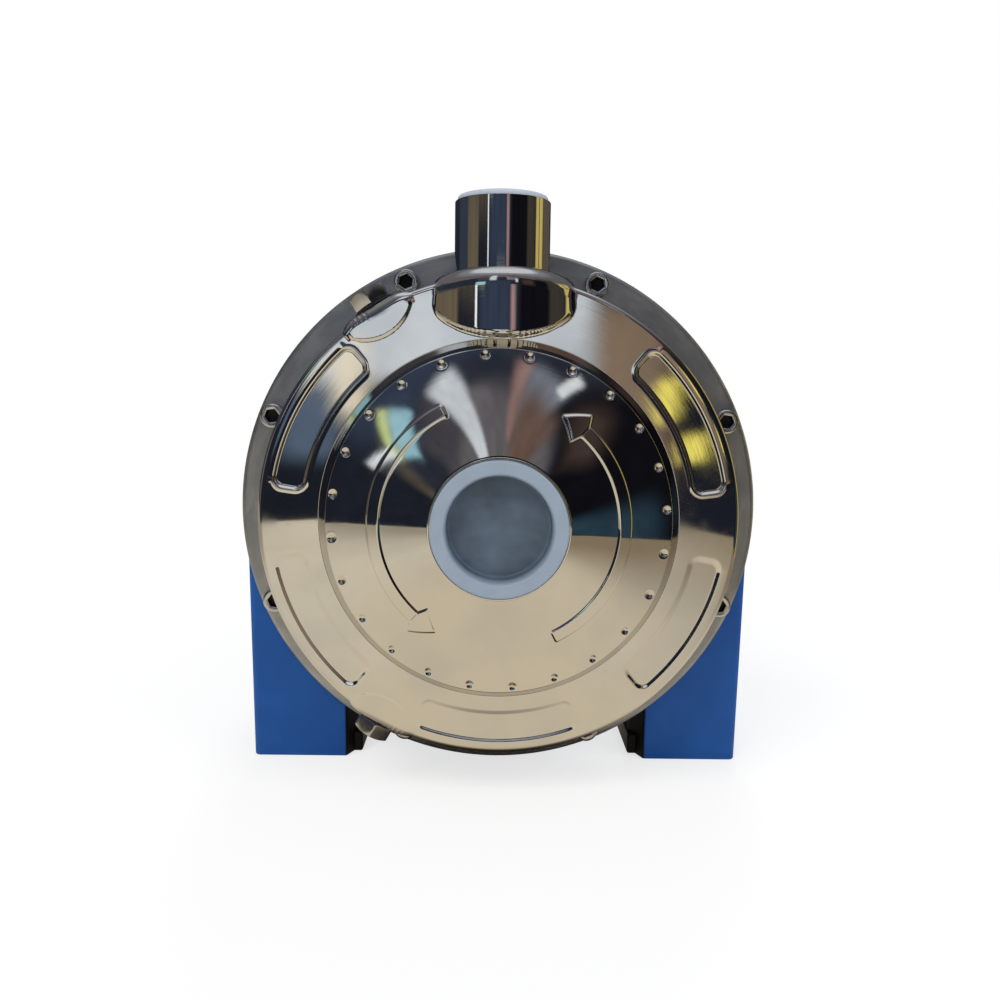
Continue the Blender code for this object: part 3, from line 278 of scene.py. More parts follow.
class Shade:
    def __init__(self, name, world=None):
        self.material = world or bpy.data.materials.new(name)
        self.material.use_nodes = True
        self.tree = self.material.node_tree
        self.tree.nodes.clear()
        kind = "ShaderNodeOutputWorld" if world else "ShaderNodeOutputMaterial"
        self.output = self.tree.nodes.new(kind)

    def node(self, kind, settings=None, sockets=None, output=0):
        made = self.tree.nodes.new(kind)
        for key, value in (settings or {}).items():
            setattr(made, key, value)
        for key, value in (sockets or {}).items():
            if isinstance(value, Wire):
                self.tree.links.new(value.socket, made.inputs[key])
            else:
                made.inputs[key].default_value = value
        return Wire(self, made.outputs[output])

    def maths(self, operation, *values):
        return self.node("ShaderNodeMath", {"operation": operation}, dict(enumerate(values)))

    def vector(self, operation, *values, output=0):
        return self.node("ShaderNodeVectorMath", {"operation": operation}, dict(enumerate(values)), output)

    def mix(self, factor, first, second, blend="MIX"):
        settings = {"data_type": "RGBA", "blend_type": blend, "clamp_factor": True}
        return self.node("ShaderNodeMix", settings, {0: factor, 6: first, 7: second}, 2)

    def step(self, value, low, high):
        # Smooth 0 to 1 between two values.
        sockets = {"Value": value, "From Min": low, "From Max": high}
        return self.node("ShaderNodeMapRange", {"interpolation_type": "SMOOTHSTEP"}, sockets)

    def place(self):
        # The piece's own coordinates, in millimetres from the shaft and the ring's face.
        here = self.node("ShaderNodeTexCoord", output=3)
        moved = self.vector("SUBTRACT", here, (0, faceY * mm, axisZ * mm))
        return self.node("ShaderNodeVectorMath", {"operation": "SCALE"}, {0: moved, "Scale": 1000.0})

    def polar(self):
        # place() itself, how far along the shaft it is, how far from it, and the clock angle in radians
        p = self.place()
        x, y, z = self.split(p)
        return p, y, self.maths("SQRT", x * x + z * z), self.maths("ARCTAN2", x, z)

    def split(self, vector):
        made = self.tree.nodes.new("ShaderNodeSeparateXYZ")
        self.tree.links.new(vector.socket, made.inputs[0])
        return [Wire(self, made.outputs[k]) for k in range(3)]

    def join(self, x, y, z):
        return self.node("ShaderNodeCombineXYZ", None, {0: x, 1: y, 2: z})

    def noise(self, vector, scale, detail, rough):
        sockets = {"Vector": vector, "Scale": scale, "Detail": detail, "Roughness": rough}
        return self.node("ShaderNodeTexNoise", None, sockets)

    def bump(self, height, distance, strength):
        sockets = {"Height": height, "Distance": distance, "Strength": strength}
        return self.node("ShaderNodeBump", None, sockets)

    def glow(self, color, strength):
        return self.node("ShaderNodeEmission", None, {"Color": color, "Strength": strength})

    def shown(self):
        # 1 where the camera, a reflection or a transmission looks, 0 for soft light
        path = self.tree.nodes.new("ShaderNodeLightPath")
        rays = ("Is Camera Ray", "Is Glossy Ray", "Is Transmission Ray")
        seen = [Wire(self, path.outputs[k]) for k in rays]
        return self.maths("MAXIMUM", self.maths("MAXIMUM", seen[0], seen[1]), seen[2])

    def end(self, surface):
        self.tree.links.new(surface.socket, self.output.inputs["Surface"])
        return self.material

    def finish(self, **sockets):
        # Principled surface from plain socket names.
        names = {"color": "Base Color", "metal": "Metallic", "rough": "Roughness", "normal": "Normal",
                 "specular": "Specular IOR Level"}
        return self.end(self.node("ShaderNodeBsdfPrincipled", None,
                                  {names[k]: v for k, v in sockets.items()}))


def rgb(red, green, blue):
    # A colour as seen on screen, 0 to 255, turned into Blender's linear values.
    c = np.array([red, green, blue]) / 255
    c = np.where(c <= 0.04045, c / 12.92, ((c + 0.055) / 1.055) ** 2.4)
    return (float(c[0]), float(c[1]), float(c[2]), 1.0)


def polishedSteel():
    # Mirror polish with faint turning lines round the shaft, cloudy haze and a few hair scratches.
    s = Shade("polishedSteel")
    p, y, r, turn = s.polar()
    lines = s.noise(s.join(r * 3.0, turn * 2.0, y * 0.4), 1.0, 5.0, 0.65)
    rings = s.noise(s.join(r * 0.9, turn * 1.2, y * 0.9), 1.0, 3.0, 0.6)
    cloud = s.noise(p, 0.035, 3.0, 0.55)
    smudge = s.noise(p, 0.11, 4.0, 0.6)
    rough = 0.03 + 0.06 * s.step(cloud, 0.45, 0.78) + 0.05 * s.step(smudge, 0.58, 0.82)
    color = s.mix(s.step(cloud, 0.3, 0.7), rgb(222, 219, 212), rgb(212, 211, 208))
    scratch = s.noise(s.join(r * 9.0, turn * 5.0, y), 1.0, 2.0, 0.5)
    height = lines * 0.45 + scratch * 0.3 + rings * 0.5
    return s.finish(color=color, metal=1.0, rough=rough, normal=s.bump(height, 0.000008, 0.6))


def satinSteel():
    # Finely ground sheet: streaks round the shaft over broad uneven patches.
    s = Shade("satinSteel")
    p, y, r, turn = s.polar()
    streak = s.noise(s.join(r * 4.0, turn * 6.0, y * 4.0), 1.0, 4.0, 0.6)
    across = s.noise(s.vector("MULTIPLY", p, (0.25, 0.25, 3.0)), 1.0, 3.0, 0.5)
    cloud = s.noise(p, 0.05, 3.0, 0.5)
    rough = 0.24 + 0.14 * streak + 0.08 * cloud
    broad = s.noise(s.join(turn * 5.0, r * 0.12, y * 0.1), 1.0, 4.0, 0.6)
    color = s.mix(0.5 * streak + 0.5 * s.step(broad, 0.35, 0.7), rgb(138, 142, 148), rgb(192, 192, 190))
    height = streak * 0.7 + across * 0.3
    return s.finish(color=color, metal=0.92, rough=rough, normal=s.bump(height, 0.00002, 0.6))


def screwSteel(circle=99.4, count=8, socket=2.95, level=6.0):
    # Bright heads with painted shade in their sockets, found by the distance to the nearest screw's axis in
    # millimetres.
    s = Shade("screwSteel")
    p, y, r, turn = s.polar()
    share = s.maths("FRACT", turn * (count / (2 * pi)) + 8.0) - 0.5
    off = s.maths("SQRT", (r - circle) * (r - circle) + share * share * (circle * 2 * pi / count) ** 2)
    socketShade = s.step(socket - off, 0.0, 0.3) * s.step(y, -level - 0.1, -level + 0.5)
    cloud = s.noise(p, 0.9, 3.0, 0.6)
    color = s.mix(cloud, rgb(186, 188, 190), rgb(216, 216, 214))
    # painted shade: the sockets darkened to near black
    color = s.mix(socketShade, color, rgb(58, 58, 62))
    rough = 0.14 + 0.14 * cloud + 0.3 * socketShade
    return s.finish(color=color, metal=1.0, rough=rough, normal=s.bump(cloud, 0.00002, 0.4))


def shaftSteel():
    s = Shade("shaftSteel")
    y = s.split(s.place())[1]
    lines = s.noise(s.join(y * 3.0, 0.0, 0.0), 1.0, 4.0, 0.6)
    return s.finish(color=s.mix(lines, rgb(150, 150, 150), rgb(185, 184, 180)), metal=1.0,
                    rough=0.22 + 0.12 * lines, normal=s.bump(lines, 0.00001, 0.4))


def bluePaint():
    # Cast surface under semi-matt enamel: a fine orange peel over a coarser sand-cast unevenness.
    s = Shade("bluePaint")
    p = s.place()
    peel = s.noise(p, 0.8, 3.0, 0.5)
    cast = s.noise(p, 0.12, 4.0, 0.55)
    dust = s.noise(p, 0.05, 5.0, 0.6)
    color = s.mix(s.step(dust, 0.35, 0.75), rgb(5, 68, 136), rgb(9, 76, 146))
    x, y, z = s.split(p)
    # painted shade: the legs' inner sides, outside the flange, are darkened to near black in front, where
    # shade falls between the legs, and go over to blue near the rear
    inside = s.step(65.6 - s.maths("ABSOLUTE", x), 0.0, 0.8)
    inside = inside * s.step(s.maths("SQRT", x * x + z * z), 107.0, 107.6)
    inside = inside * s.step(0 - z, 60.0, 64.0) * s.step(0 - y, -72.0, -62.0)
    color = s.mix(inside, color, rgb(12, 12, 14))
    rough = 0.42 + 0.12 * dust
    height = peel * 0.35 + cast * 0.65
    return s.finish(color=color, metal=0.0, rough=rough, specular=0.3, normal=s.bump(height, 0.00025, 0.45))


def capPlastic(name, axis, rim, floor, shade):
    # Thin translucent plastic with painted light and shade: a painted glow where light comes through the rim,
    # painted shade where the dark bore lies behind.
    s = Shade(name)
    p = s.place()
    level = s.split(p)[axis] * (-1.0 if axis == 1 else 1.0)
    cloud = s.noise(p, 0.12, 3.0, 0.5)
    streak = s.noise(s.vector("MULTIPLY", p, (0.08, 1.2, 0.25)), 1.0, 3.0, 0.5)
    pale = s.mix(cloud, rgb(*shade), rgb(*[c + 14 for c in shade]))
    dim = s.mix(s.step(cloud + 0.4 * streak, 0.3, 1.1), rgb(68, 80, 92), rgb(84, 100, 116))
    # painted light and shade: the pale colour above the floor's level, the dim colour below it
    color = s.mix(s.step(level, floor, rim), dim, pale)
    return s.finish(color=color, metal=0.0, rough=0.34 + 0.1 * cloud, specular=0.45,
                    normal=s.bump(cloud, 0.0002, 0.2))


def simple(name, dark, light, rough, metal=0.0, scale=0.6, vary=0.1, relief=0.00006, strength=0.4,
           detail=4.0):
    # One grain drives colour, roughness and bump.
    s = Shade(name)
    grain = s.noise(s.place(), scale, detail, 0.6)
    return s.finish(color=s.mix(grain, rgb(*dark), rgb(*light)), metal=metal, rough=rough + vary * grain,
                    normal=s.bump(grain, relief, strength))


steel, satin, screwMetal, turnedSteel = polishedSteel(), satinSteel(), screwSteel(), shaftSteel()
paint = bluePaint()
zinc = simple("zincSteel", (150, 152, 155), (190, 190, 188), 0.3, 1.0, 0.5, 0.2, 0.00003)
black = simple("blackPlastic", (30, 31, 33), (44, 45, 47), 0.45, 0.0, 2.2, 0.15, 0.00012, 0.5, 3.0)
suctionWhite = capPlastic("suctionWhite", 1, 54.5, 48.3, (122, 134, 147))
dischargeWhite = capPlastic("dischargeWhite", 2, 120.4, 113.0, (160, 168, 180))
rubber = simple("rubber", (18, 18, 19), (34, 34, 35), 0.6)
copper = simple("copper", (120, 52, 22), (176, 92, 48), 0.35, 0.7, 1.4)
coreSteel = simple("coreSteel", (70, 70, 73), (110, 110, 112), 0.42, 0.9, 1.8)
ceramic = simple("ceramic", (205, 200, 188), (224, 220, 210), 0.2)
carbon = simple("carbon", (22, 22, 23), (40, 40, 42), 0.35)
print("materials made")

# Casing

casing = {"coneStart": 26.2, "coneEdge": 64.7, "coneHeight": 52.0, "slopeInner": 25.0, "slopeOuter": 9.5,
          "edgeRound": 0.6, "crease": (66.5, 31.7), "creaseFoot": 68.4, "creaseRound": 0.7,
          "bandDepth": 33.0, "bandCorner": 4.2, "wallRadius": 91.6, "rootRadius": 91.9, "rootRound": 2.0,
          "rimRadius": 103.6, "rimLevel": 3.3, "sheet": 2.0, "columns": 840, "coneLines": 92,
          "innerLines": 14, "bendSteps": 22, "wallLines": 16,
          "flatEnds": (73.6, 73.85, 76.3, 76.8, 84.7, 85.0), "flatLines": (10, 13, 19, 14)}
arrows = {"radius": 46.4, "tails": (-26.2, 153.2), "length": 90.4, "halfWidth": 2.4, "headHalf": 6.0,
          "headBack": 1.8, "headLong": 9.8, "rise": 0.8, "edge": 0.75}
dimples = {"count": 24, "first": 9.6, "radius": 62.4, "pit": 1.2, "depth": 0.75, "rim": 0.06, "rimAt": 1.6,
           "rimWide": 0.45}
# Each pad: clock angles from and to, depth, bead, width of its flank.
pads = {"inner": 75.0, "outer": 86.3, "corner": 3.5, "sharp": 14, "beadAt": 1.1, "beadWide": 0.5,
        "spans": [(-81.5, -41.0, 1.0, 0.12, 0.9), (41.0, 81.5, 1.0, 0.12, 0.9),
                  (100.0, 139.5, 0.36, 0.0, 1.8), (158.0, 202.0, 0.36, 0.0, 1.8),
                  (-139.5, -100.0, 0.36, 0.0, 1.8)]}
bulge = {"x": 0.7, "radius": 35.0, "depth": 9.0, "lean": 0.05, "leanFrom": 74.0, "halfWidth": 28.4,
         "middle": 86.5, "drop": 17.0, "power": 2.15, "top": 94.7, "rear": 7.0, "edge": 0.9,
         "shoulder": 6.5, "blend": 1.2, "rearRound": 5.0}
# Each boss: clock angle, depth of its front and how softly its lower edge runs into the band.
bosses = {"places": ((-31.0, 33.45, 0.45), (-150.0, 33.06, 0.25)), "arcCenter": 99.2, "arcRadius": 18.0,
          "rear": 9.0, "rearRound": 4.0, "top": 93.1, "flatHalf": 8.0, "fall": 0.05, "edge": 0.4,
          "corner": 3.8, "pleat": 0.16, "pitch": 1.9, "pleatLeft": (-12.5, -9.5), "pleatRight": (1.5, 4.0),
          "pleatFrom": (87.0, 90.0)}
# Clock angles where the band's columns change their spacing, and the spacing up to the next one.
columnSteps = [(-154.0, 0.45), (-143.0, 0.25), (-137.0, 0.8), (-103.0, 0.3), (-97.5, 0.8), (-84.0, 0.2),
               (-79.0, 0.75), (-43.5, 0.2), (-38.5, 0.35), (-18.0, 0.3), (23.0, 0.6), (38.5, 0.2),
               (43.5, 0.75), (79.0, 0.2), (84.0, 0.8), (97.5, 0.3), (103.0, 0.8), (137.0, 0.3),
               (142.0, 0.8), (155.0, 0.3), (160.0, 0.8), (199.0, 0.3), (206.0, 0.0)]


def coneDepth(r):
    # Depth in front of the face; the slope falls evenly from the collar to the cone's edge.
    first, last = radians(casing["slopeInner"]), radians(casing["slopeOuter"])
    reach = casing["coneEdge"] - casing["coneStart"]
    slope = first + (last - first) * (r - casing["coneStart"]) / reach
    return casing["coneHeight"] - reach / (last - first) * np.log(np.cos(first) / np.cos(slope))


def lineNormals(line):
    # Outward side of an (r, depth) line that runs from the shaft outwards.
    step = np.gradient(line, axis=0)
    step /= np.hypot(step[:, 0], step[:, 1])[:, None]
    return np.stack([-step[:, 1], step[:, 0]], -1)


def boxDistance(u, v, halfU, halfV, corner):
    # Signed distance to a rectangle with rounded corners.
    a, b = np.abs(u) - halfU + corner, np.abs(v) - halfV + corner
    return np.hypot(np.maximum(a, 0), np.maximum(b, 0)) + np.minimum(np.maximum(a, b), 0) - corner


def arrowDistance(turn, r):
    # Signed distance to both bent arrows: a strip along the circle joined with a five-sided head.
    best = np.full(np.broadcast(turn, r).shape, 99.0)
    reach, half = arrows["length"], arrows["halfWidth"]
    head = [(reach, -half), (reach + arrows["headBack"], -arrows["headHalf"]),
            (reach + arrows["headLong"], 0.0), (reach + arrows["headBack"], arrows["headHalf"]),
            (reach, half)]
    for tail in arrows["tails"]:
        angle = (radians(tail) - turn + pi / 2) % (2 * pi) - pi / 2
        u, v = angle * arrows["radius"], r - arrows["radius"]
        strip = boxDistance(u - reach / 2, v, reach / 2 + 0.2, half, 0.8)
        inside = np.full(u.shape, -99.0)
        for (ax, ay), (bx, by) in zip(head, head[1:] + head[:1]):
            size = np.hypot(bx - ax, by - ay)
            inside = np.maximum(inside, ((u - ax) * (by - ay) - (v - ay) * (bx - ax)) / size)
        best = np.minimum(best, np.minimum(strip, inside))
    return best


def padRelief(turn, r):
    # Shallow pads round the band, the upper two deeper and lined with a bead.
    relief = np.zeros(np.broadcast(turn, r).shape)
    middle, half = (pads["inner"] + pads["outer"]) / 2, (pads["outer"] - pads["inner"]) / 2
    for first, last, depth, bead, flank in pads["spans"]:
        center = radians((first + last) / 2)
        angle = (turn - center + pi) % (2 * pi) - pi
        away = boxDistance(angle * middle, r - middle, radians(last - first) / 2 * middle, half,
                           pads["corner"])
        # a straight flank with small radii: a line clipped softly at both ends
        t = np.clip(0.5 - away / flank, -0.5, 1.5)
        sharp = pads["sharp"]
        relief -= depth * (np.logaddexp(0, sharp * t) - np.logaddexp(0, sharp * (t - 1))) / sharp
        relief += bead * np.exp(-((away - pads["beadAt"]) / pads["beadWide"]) ** 2)
    return relief


def smoothMin(a, b, k):
    t = np.clip(0.5 + 0.5 * (b - a) / k, 0, 1)
    return b + (a - b) * t - k * t * (1 - t)


def ovalDistance(q, half, power):
    # Near distance to |q / half|^power = 1: its root k less one, divided by the size of k's slope.
    half = np.asarray(half)
    share = np.abs(q) / half
    k = np.sum(share ** power, -1) ** (1 / power) + 1e-6
    slope = np.linalg.norm(share ** (power - 1) / half, axis=-1) * k ** (1 - power) + 1e-6
    return (k - 1) / slope


def roundedMax(a, b, radius):
    # What two solids have in common, with its edge rounded.
    u, v = a + radius, b + radius
    return np.hypot(np.maximum(u, 0), np.maximum(v, 0)) + np.minimum(np.maximum(u, v), 0) - radius


def bulgeDistance(q):
    # A drum leaning back a little, its lower edge an oval, cut by a cylinder round the shaft, closed behind.
    x, depth, z = q[..., 0] - bulge["x"], q[..., 1], q[..., 2]
    drum = np.hypot(x, depth - bulge["depth"] + bulge["lean"] * (z - bulge["leanFrom"])) - bulge["radius"]
    outline = np.stack([x, np.minimum(z - bulge["middle"], 0)], -1)
    oval = ovalDistance(outline, (bulge["halfWidth"], bulge["drop"]), bulge["power"])
    body = roundedMax(drum, oval, bulge["edge"])
    body = roundedMax(body, np.hypot(x, z) - bulge["top"], bulge["shoulder"])
    return roundedMax(body, bulge["rear"] - depth, bulge["rearRound"])


def bossDistance(q, angle, front):
    # The band's own corner lifted a little, its lower edge an arc; the top falls away beyond the washer.
    a = radians(angle)
    out = q[..., 0] * sin(a) + q[..., 2] * cos(a)
    side = q[..., 0] * cos(a) - q[..., 2] * sin(a)
    top = out - bosses["top"] + bosses["fall"] * np.maximum(np.abs(side) - bosses["flatHalf"], 0) ** 2
    # a few puckers beside the washer
    window = smoothStep(side, *bosses["pleatLeft"]) * smoothStep(-side, *bosses["pleatRight"])
    window = window * smoothStep(out, *bosses["pleatFrom"])
    top = top + bosses["pleat"] * window * np.cos(2 * pi * side / bosses["pitch"])
    arc = np.hypot(side, out - bosses["arcCenter"]) - bosses["arcRadius"]
    body = roundedMax(arc, q[..., 1] - front, bosses["edge"])
    return roundedMax(roundedMax(body, top, bosses["corner"]), bosses["rear"] - q[..., 1],
                      bosses["rearRound"])


def swelling(level, q):
    # Smooth union of the sheet at its level with the bulge and the bosses; q is (x, depth, height).
    value = smoothMin(level, bulgeDistance(q), bulge["blend"])
    for angle, front, blend in bosses["places"]:
        value = np.minimum(value, smoothMin(level, bossDistance(q, angle, front), blend))
    return value


def pushOut(base, normal, reach=26.0, steps=26):
    # Moves each point out along its normal until the smooth union is met, halving the gap each time.
    low, high = np.zeros(base.shape[:-1]), np.full(base.shape[:-1], reach)
    for _ in range(steps):
        middle = (low + high) / 2
        inside = swelling(middle, base + normal * middle[..., None]) < 0
        low, high = np.where(inside, middle, low), np.where(inside, high, middle)
    return (low + high) / 2


def pressedShell(line, thickness, turn, relief, swell=False):
    # The outer line turned round the shaft and pushed by its relief, closed by the line's parallel inside.
    normal = lineNormals(line)
    turn = turn[None]
    r, d = line[:, :1], line[:, 1:]
    push = relief(turn, r) * np.clip(normal[:, 1:], 0, 1)
    base = np.stack(np.broadcast_arrays(r * np.sin(turn), d, r * np.cos(turn)), -1)
    out = normal[:, :1] * np.sin(turn), normal[:, 1:], normal[:, :1] * np.cos(turn)
    out = np.stack(np.broadcast_arrays(*out), -1)
    if swell:
        near = swelling(np.zeros(base.shape[:-1]), base) < -1e-4
        grown = np.zeros(near.shape)
        grown[near] = pushOut(base[near], out[near])
        push = push + grown
    outer = base + out * push[..., None]
    keep = np.unique(np.linspace(0, len(line) - 1, casing["innerLines"]).astype(int))[::-1]
    inner = base[keep] - out[keep] * thickness
    both = np.concatenate([outer, inner])
    return lattice(np.stack([both[..., 0], faceY - both[..., 1], axisZ + both[..., 2]], -1), closeRows=True)


def coneRelief(turn, r):
    away = arrowDistance(turn, r)
    relief = arrows["rise"] * smoothStep(-away, -arrows["edge"] / 2, arrows["edge"] / 2)
    pitch = 2 * pi / dimples["count"]
    angle = (turn - radians(dimples["first"]) + pitch / 2) % pitch - pitch / 2
    off = np.hypot(angle * dimples["radius"], r - dimples["radius"])
    relief = relief - dimples["depth"] * np.exp(-(off / dimples["pit"]) ** 3)
    return relief + dimples["rim"] * np.exp(-((off - dimples["rimAt"]) / dimples["rimWide"]) ** 2)


def casingLines():
    # Outer lines of the cone and of the band as (r, depth) points.
    r = np.linspace(casing["coneStart"], casing["coneEdge"] - casing["edgeRound"], casing["coneLines"])
    cone = np.stack([r, coneDepth(r)], -1)
    edge = (casing["coneEdge"], float(coneDepth(casing["coneEdge"])))
    tail = roundedLine([cone[-1], edge, casing["crease"]], casing["edgeRound"], 8, closed=False)[1:]
    coneLine = np.vstack([cone, tail])
    foot = (casing["creaseFoot"], casing["bandDepth"])
    corner = (casing["wallRadius"], casing["bandDepth"])
    root = (casing["rootRadius"], -casing["rimLevel"])
    start = [casing["crease"], foot, (74.0, casing["bandDepth"])]
    start = roundedLine(start, casing["creaseRound"], 8, closed=False)[:-1]
    ends = (start[-1, 0] + 0.3, *casing["flatEnds"], corner[0] - casing["bandCorner"] - 0.2)
    flat = np.concatenate([np.linspace(*span) for span in zip(ends[::2], ends[1::2], casing["flatLines"])])
    band = np.stack([flat, np.full(len(flat), casing["bandDepth"])], -1)
    bend = [band[-1], corner, (casing["rootRadius"], 0)]
    bend = roundedLine(bend, casing["bandCorner"], casing["bendSteps"], closed=False)[1:-1]
    wall = np.linspace(bend[-1], (casing["rootRadius"], 1.0), casing["wallLines"])[1:]
    rim = [wall[-1], root, (casing["rimRadius"], -casing["rimLevel"])]
    rim = roundedLine(rim, casing["rootRound"], 6, closed=False)
    return coneLine, np.vstack([start, band, bend, wall, rim[1:]])


coneLine, bandLine = casingLines()
conePart = pressedShell(coneLine, casing["sheet"], fullTurn(casing["columns"]), coneRelief)
# Columns stand closer at the pads' ends and under the discharge.
turns = [np.arange(low, high, step) for (low, step), (high, _) in zip(columnSteps, columnSteps[1:])]
bandPart = pressedShell(bandLine, casing["sheet"], np.radians(np.concatenate(turns)), padRelief, swell=True)
addPiece("casingCone", [conePart], steel, "pump_casing")
addPiece("casingBand", [bandPart], steel, "pump_casing")
print("casing pressed:", sum(len(b) for b in conePart[1] + bandPart[1]), "faces")

# Ports, caps, ring

ports = {"collarRadius": 25.9, "collarBore": 20.5, "collarFace": 55.0, "collarLong": 16.0,
         "pipeRadius": 18.0, "pipeBore": 15.2, "pipeTop": 119.2, "pipeFoot": 88.0, "pipeDepth": 22.0,
         "rimWidth": 0.7, "rimStep": 0.5, "steps": 192}


def socketProfile(bore, radius, foot, face):
    # Closed outline of a socket: levels rise from its foot to its face.
    seat, step = radius - ports["rimWidth"], face - ports["rimStep"]
    outline = [(bore, foot), (radius, foot), (radius, face), (seat, face), (seat, step), (bore, step)]
    return roundedLine(outline, [0.2, 0.3, 0.2, 0.15, 0.05, 0.3], 4)


pipePlace = radialFrame(0.0, ports["pipeDepth"])
collarPlace = (np.array([0, faceY, axisZ]), rightAxis, upAxis, -rearAxis)
collarFoot = ports["collarFace"] - ports["collarLong"]
collar = socketProfile(ports["collarBore"], ports["collarRadius"], collarFoot, ports["collarFace"])
pipe = socketProfile(ports["pipeBore"], ports["pipeRadius"], ports["pipeFoot"], ports["pipeTop"])
collarPart, pipePart = lathe(collar, ports["steps"], collarPlace), lathe(pipe, ports["steps"], pipePlace)
addPiece("suctionCollar", [collarPart], steel, "suction_collar")
addPiece("dischargePipe", [pipePart], steel, "discharge_pipe")

caps = {"wall": 0.9, "floor": 1.5, "proud": 2.0, "flare": 0.5, "flareLong": 1.5, "draft": 0.3, "lead": 0.8,
        "leadLong": 1.6, "suctionDepth": 10.5, "dischargeDepth": 9.0, "gap": 0.3, "steps": 160}


def capProfile(bore, radius, face, depth):
    # Half section of a pushed-in cup from its underside's middle to its floor's middle.
    flange = radius - ports["rimWidth"] - caps["gap"]
    plug = bore - caps["gap"]
    inside = plug - caps["wall"]
    seat, top = face - ports["rimStep"] + caps["gap"], face + caps["proud"]
    bottom = top - depth - caps["floor"]
    inner = bottom + caps["floor"]
    outline = [(0, bottom), (plug - caps["lead"], bottom), (plug, bottom + caps["leadLong"]), (plug, seat),
               (flange, seat), (flange, top), (inside + caps["flare"], top),
               (inside, top - caps["flareLong"]), (inside - caps["draft"], inner), (0, inner)]
    return roundedLine(outline, [0, 0.4, 0.4, 0.1, 0.3, 0.8, 0.9, 1.2, 1.0, 0], 6, closed=False)


suctionCup = capProfile(ports["collarBore"], ports["collarRadius"], ports["collarFace"],
                        caps["suctionDepth"])
dischargeCup = capProfile(ports["pipeBore"], ports["pipeRadius"], ports["pipeTop"], caps["dischargeDepth"])
addPiece("suctionCap", [lathe(suctionCup, caps["steps"], collarPlace, loop=False)], suctionWhite,
         "suction_cap", "suction_plug")
addPiece("dischargeCap", [lathe(dischargeCup, caps["steps"], pipePlace, loop=False)], dischargeWhite,
         "discharge_cap", "discharge_plug")

ring = {"inner": 94.4, "outer": 106.4, "thick": 3.0, "roll": 2.0, "lip": 2.2, "skirt": 7.9, "steps": 360}


def ringProfile():
    inner, outer, high, thick = ring["inner"], ring["outer"], ring["skirt"], ring["thick"]
    step = outer - ring["lip"]
    outline = [(inner, 0), (outer, 0), (outer, high), (step, high), (step, thick), (inner, thick)]
    return roundedLine(outline, [0.5, ring["roll"], 0.5, 0.3, 0.3, 0.5], 8)


addPiece("boltRing", [lathe(ringProfile(), ring["steps"])], satin, "bolt_ring")
print("ports, caps and ring turned")

# Screws and plugs

capScrew = {"head": 5.0, "rise": 6.0, "shank": 3.0, "long": 20.0, "flats": 5.0, "socket": 3.2, "circle": 99.4,
            "count": 8, "knurls": 32, "knurlDeep": 0.12, "gap": 0.3, "steps": 192}


def capScrewPart(place):
    # Rings from the socket's floor over the knurled head to the shank's tip.
    turn = fullTurn(capScrew["steps"])
    hexagon = hexRadius(turn, capScrew["flats"], 80)
    head, shank, long, seat = capScrew["head"], capScrew["shank"], capScrew["long"], -capScrew["gap"]
    knurled = head - capScrew["knurlDeep"] * np.abs(np.sin(turn * capScrew["knurls"] / 2))
    top = seat - capScrew["rise"]
    floor = top + capScrew["socket"]
    return ringLattice(place, turn, [
        (0, floor + 0.4), (hexagon * 0.97, floor), (hexagon, floor - 0.2), (hexagon, top + 0.35),
        (hexagon + 0.1, top + 0.12), (hexagon + 0.3, top), (head - 1.0, top), (head - 0.85, top),
        (head - 0.5, top + 0.12), (head - 0.2, top + 0.45), (knurled, top + 0.9), (knurled, seat - 0.5),
        (head - 0.15, seat - 0.25), (head - 0.3, seat), (shank, seat), (shank, long - 1.0),
        (shank - 0.7, long - 0.3), (0, long - 0.3)])


for k in range(capScrew["count"]):
    angle = 360.0 * (k + 0.5) / capScrew["count"]
    # the CAD counts its screws clockwise from the right-hand side
    place = shaftFrame(90.0 + angle, capScrew["circle"])
    addPiece(f"casingScrew{k + 1}", [capScrewPart(place)], screwMetal, f"casing_screw_{k + 1}")

plugs = {"flats": 14.0, "head": 6.0, "seat": 94.7, "thread": 6.0, "threadDeep": 0.32, "pitch": 1.2,
         "tip": 87.2, "washerLow": 93.4, "washerRadius": 8.4, "washerBore": 6.3, "washerThick": 1.0,
         "depth": 21.0, "angles": {"priming": -31.0, "drain": -150.0}, "steps": 192, "washerSteps": 96}


def plugPart(place):
    # A hexagon head with its outer face chamfered to its inscribed circle, on a threaded stem.
    turn = fullTurn(plugs["steps"])
    hexagon = hexRadius(turn, plugs["flats"], 50)
    flat = plugs["flats"] / 2 - 0.35
    low, thread, tip = plugs["seat"], plugs["thread"], plugs["tip"]
    top = low + plugs["head"]
    slope = (hexagon - flat) * tan(radians(28))
    rings = [(0, top), (flat - 0.6, top), (flat - 0.15, top), (flat, top - 0.03)]
    rings += [(flat + (hexagon - flat) * t, top - slope * t - 0.03) for t in (0.35, 0.7, 0.96)]
    rings += [(hexagon, top - slope - 0.15), (hexagon, low + 0.3), (hexagon - 0.12, low + 0.06),
              (hexagon - 0.3, low), (thread, low)]
    levels = np.arange(low - 0.3, tip + 1.0, -plugs["pitch"] / 4)
    rings += [(thread - plugs["threadDeep"] * (0.5 - 0.5 * cos(k * pi / 2)), z) for k, z in enumerate(levels)]
    return ringLattice(place, pi / 2 - turn, rings + [(thread - 0.9, tip), (0, tip)])


for label, angle in plugs["angles"].items():
    place = radialFrame(angle, plugs["depth"])
    addPiece(label + "PlugHead", [plugPart(place)], screwMetal, label + "_plug",
             label + "_screw")
    low, high = plugs["washerLow"], plugs["washerLow"] + plugs["washerThick"]
    bore, rim = plugs["washerBore"], plugs["washerRadius"]
    washer = roundedLine([(bore, low), (rim, low), (rim, high), (bore, high)], 0.3, 4)
    addPiece(label + "WasherRing", [lathe(washer, plugs["washerSteps"], place)], rubber, label + "_washer",
             label + "_seal")
print("screws and plugs placed")

# Bracket and legs

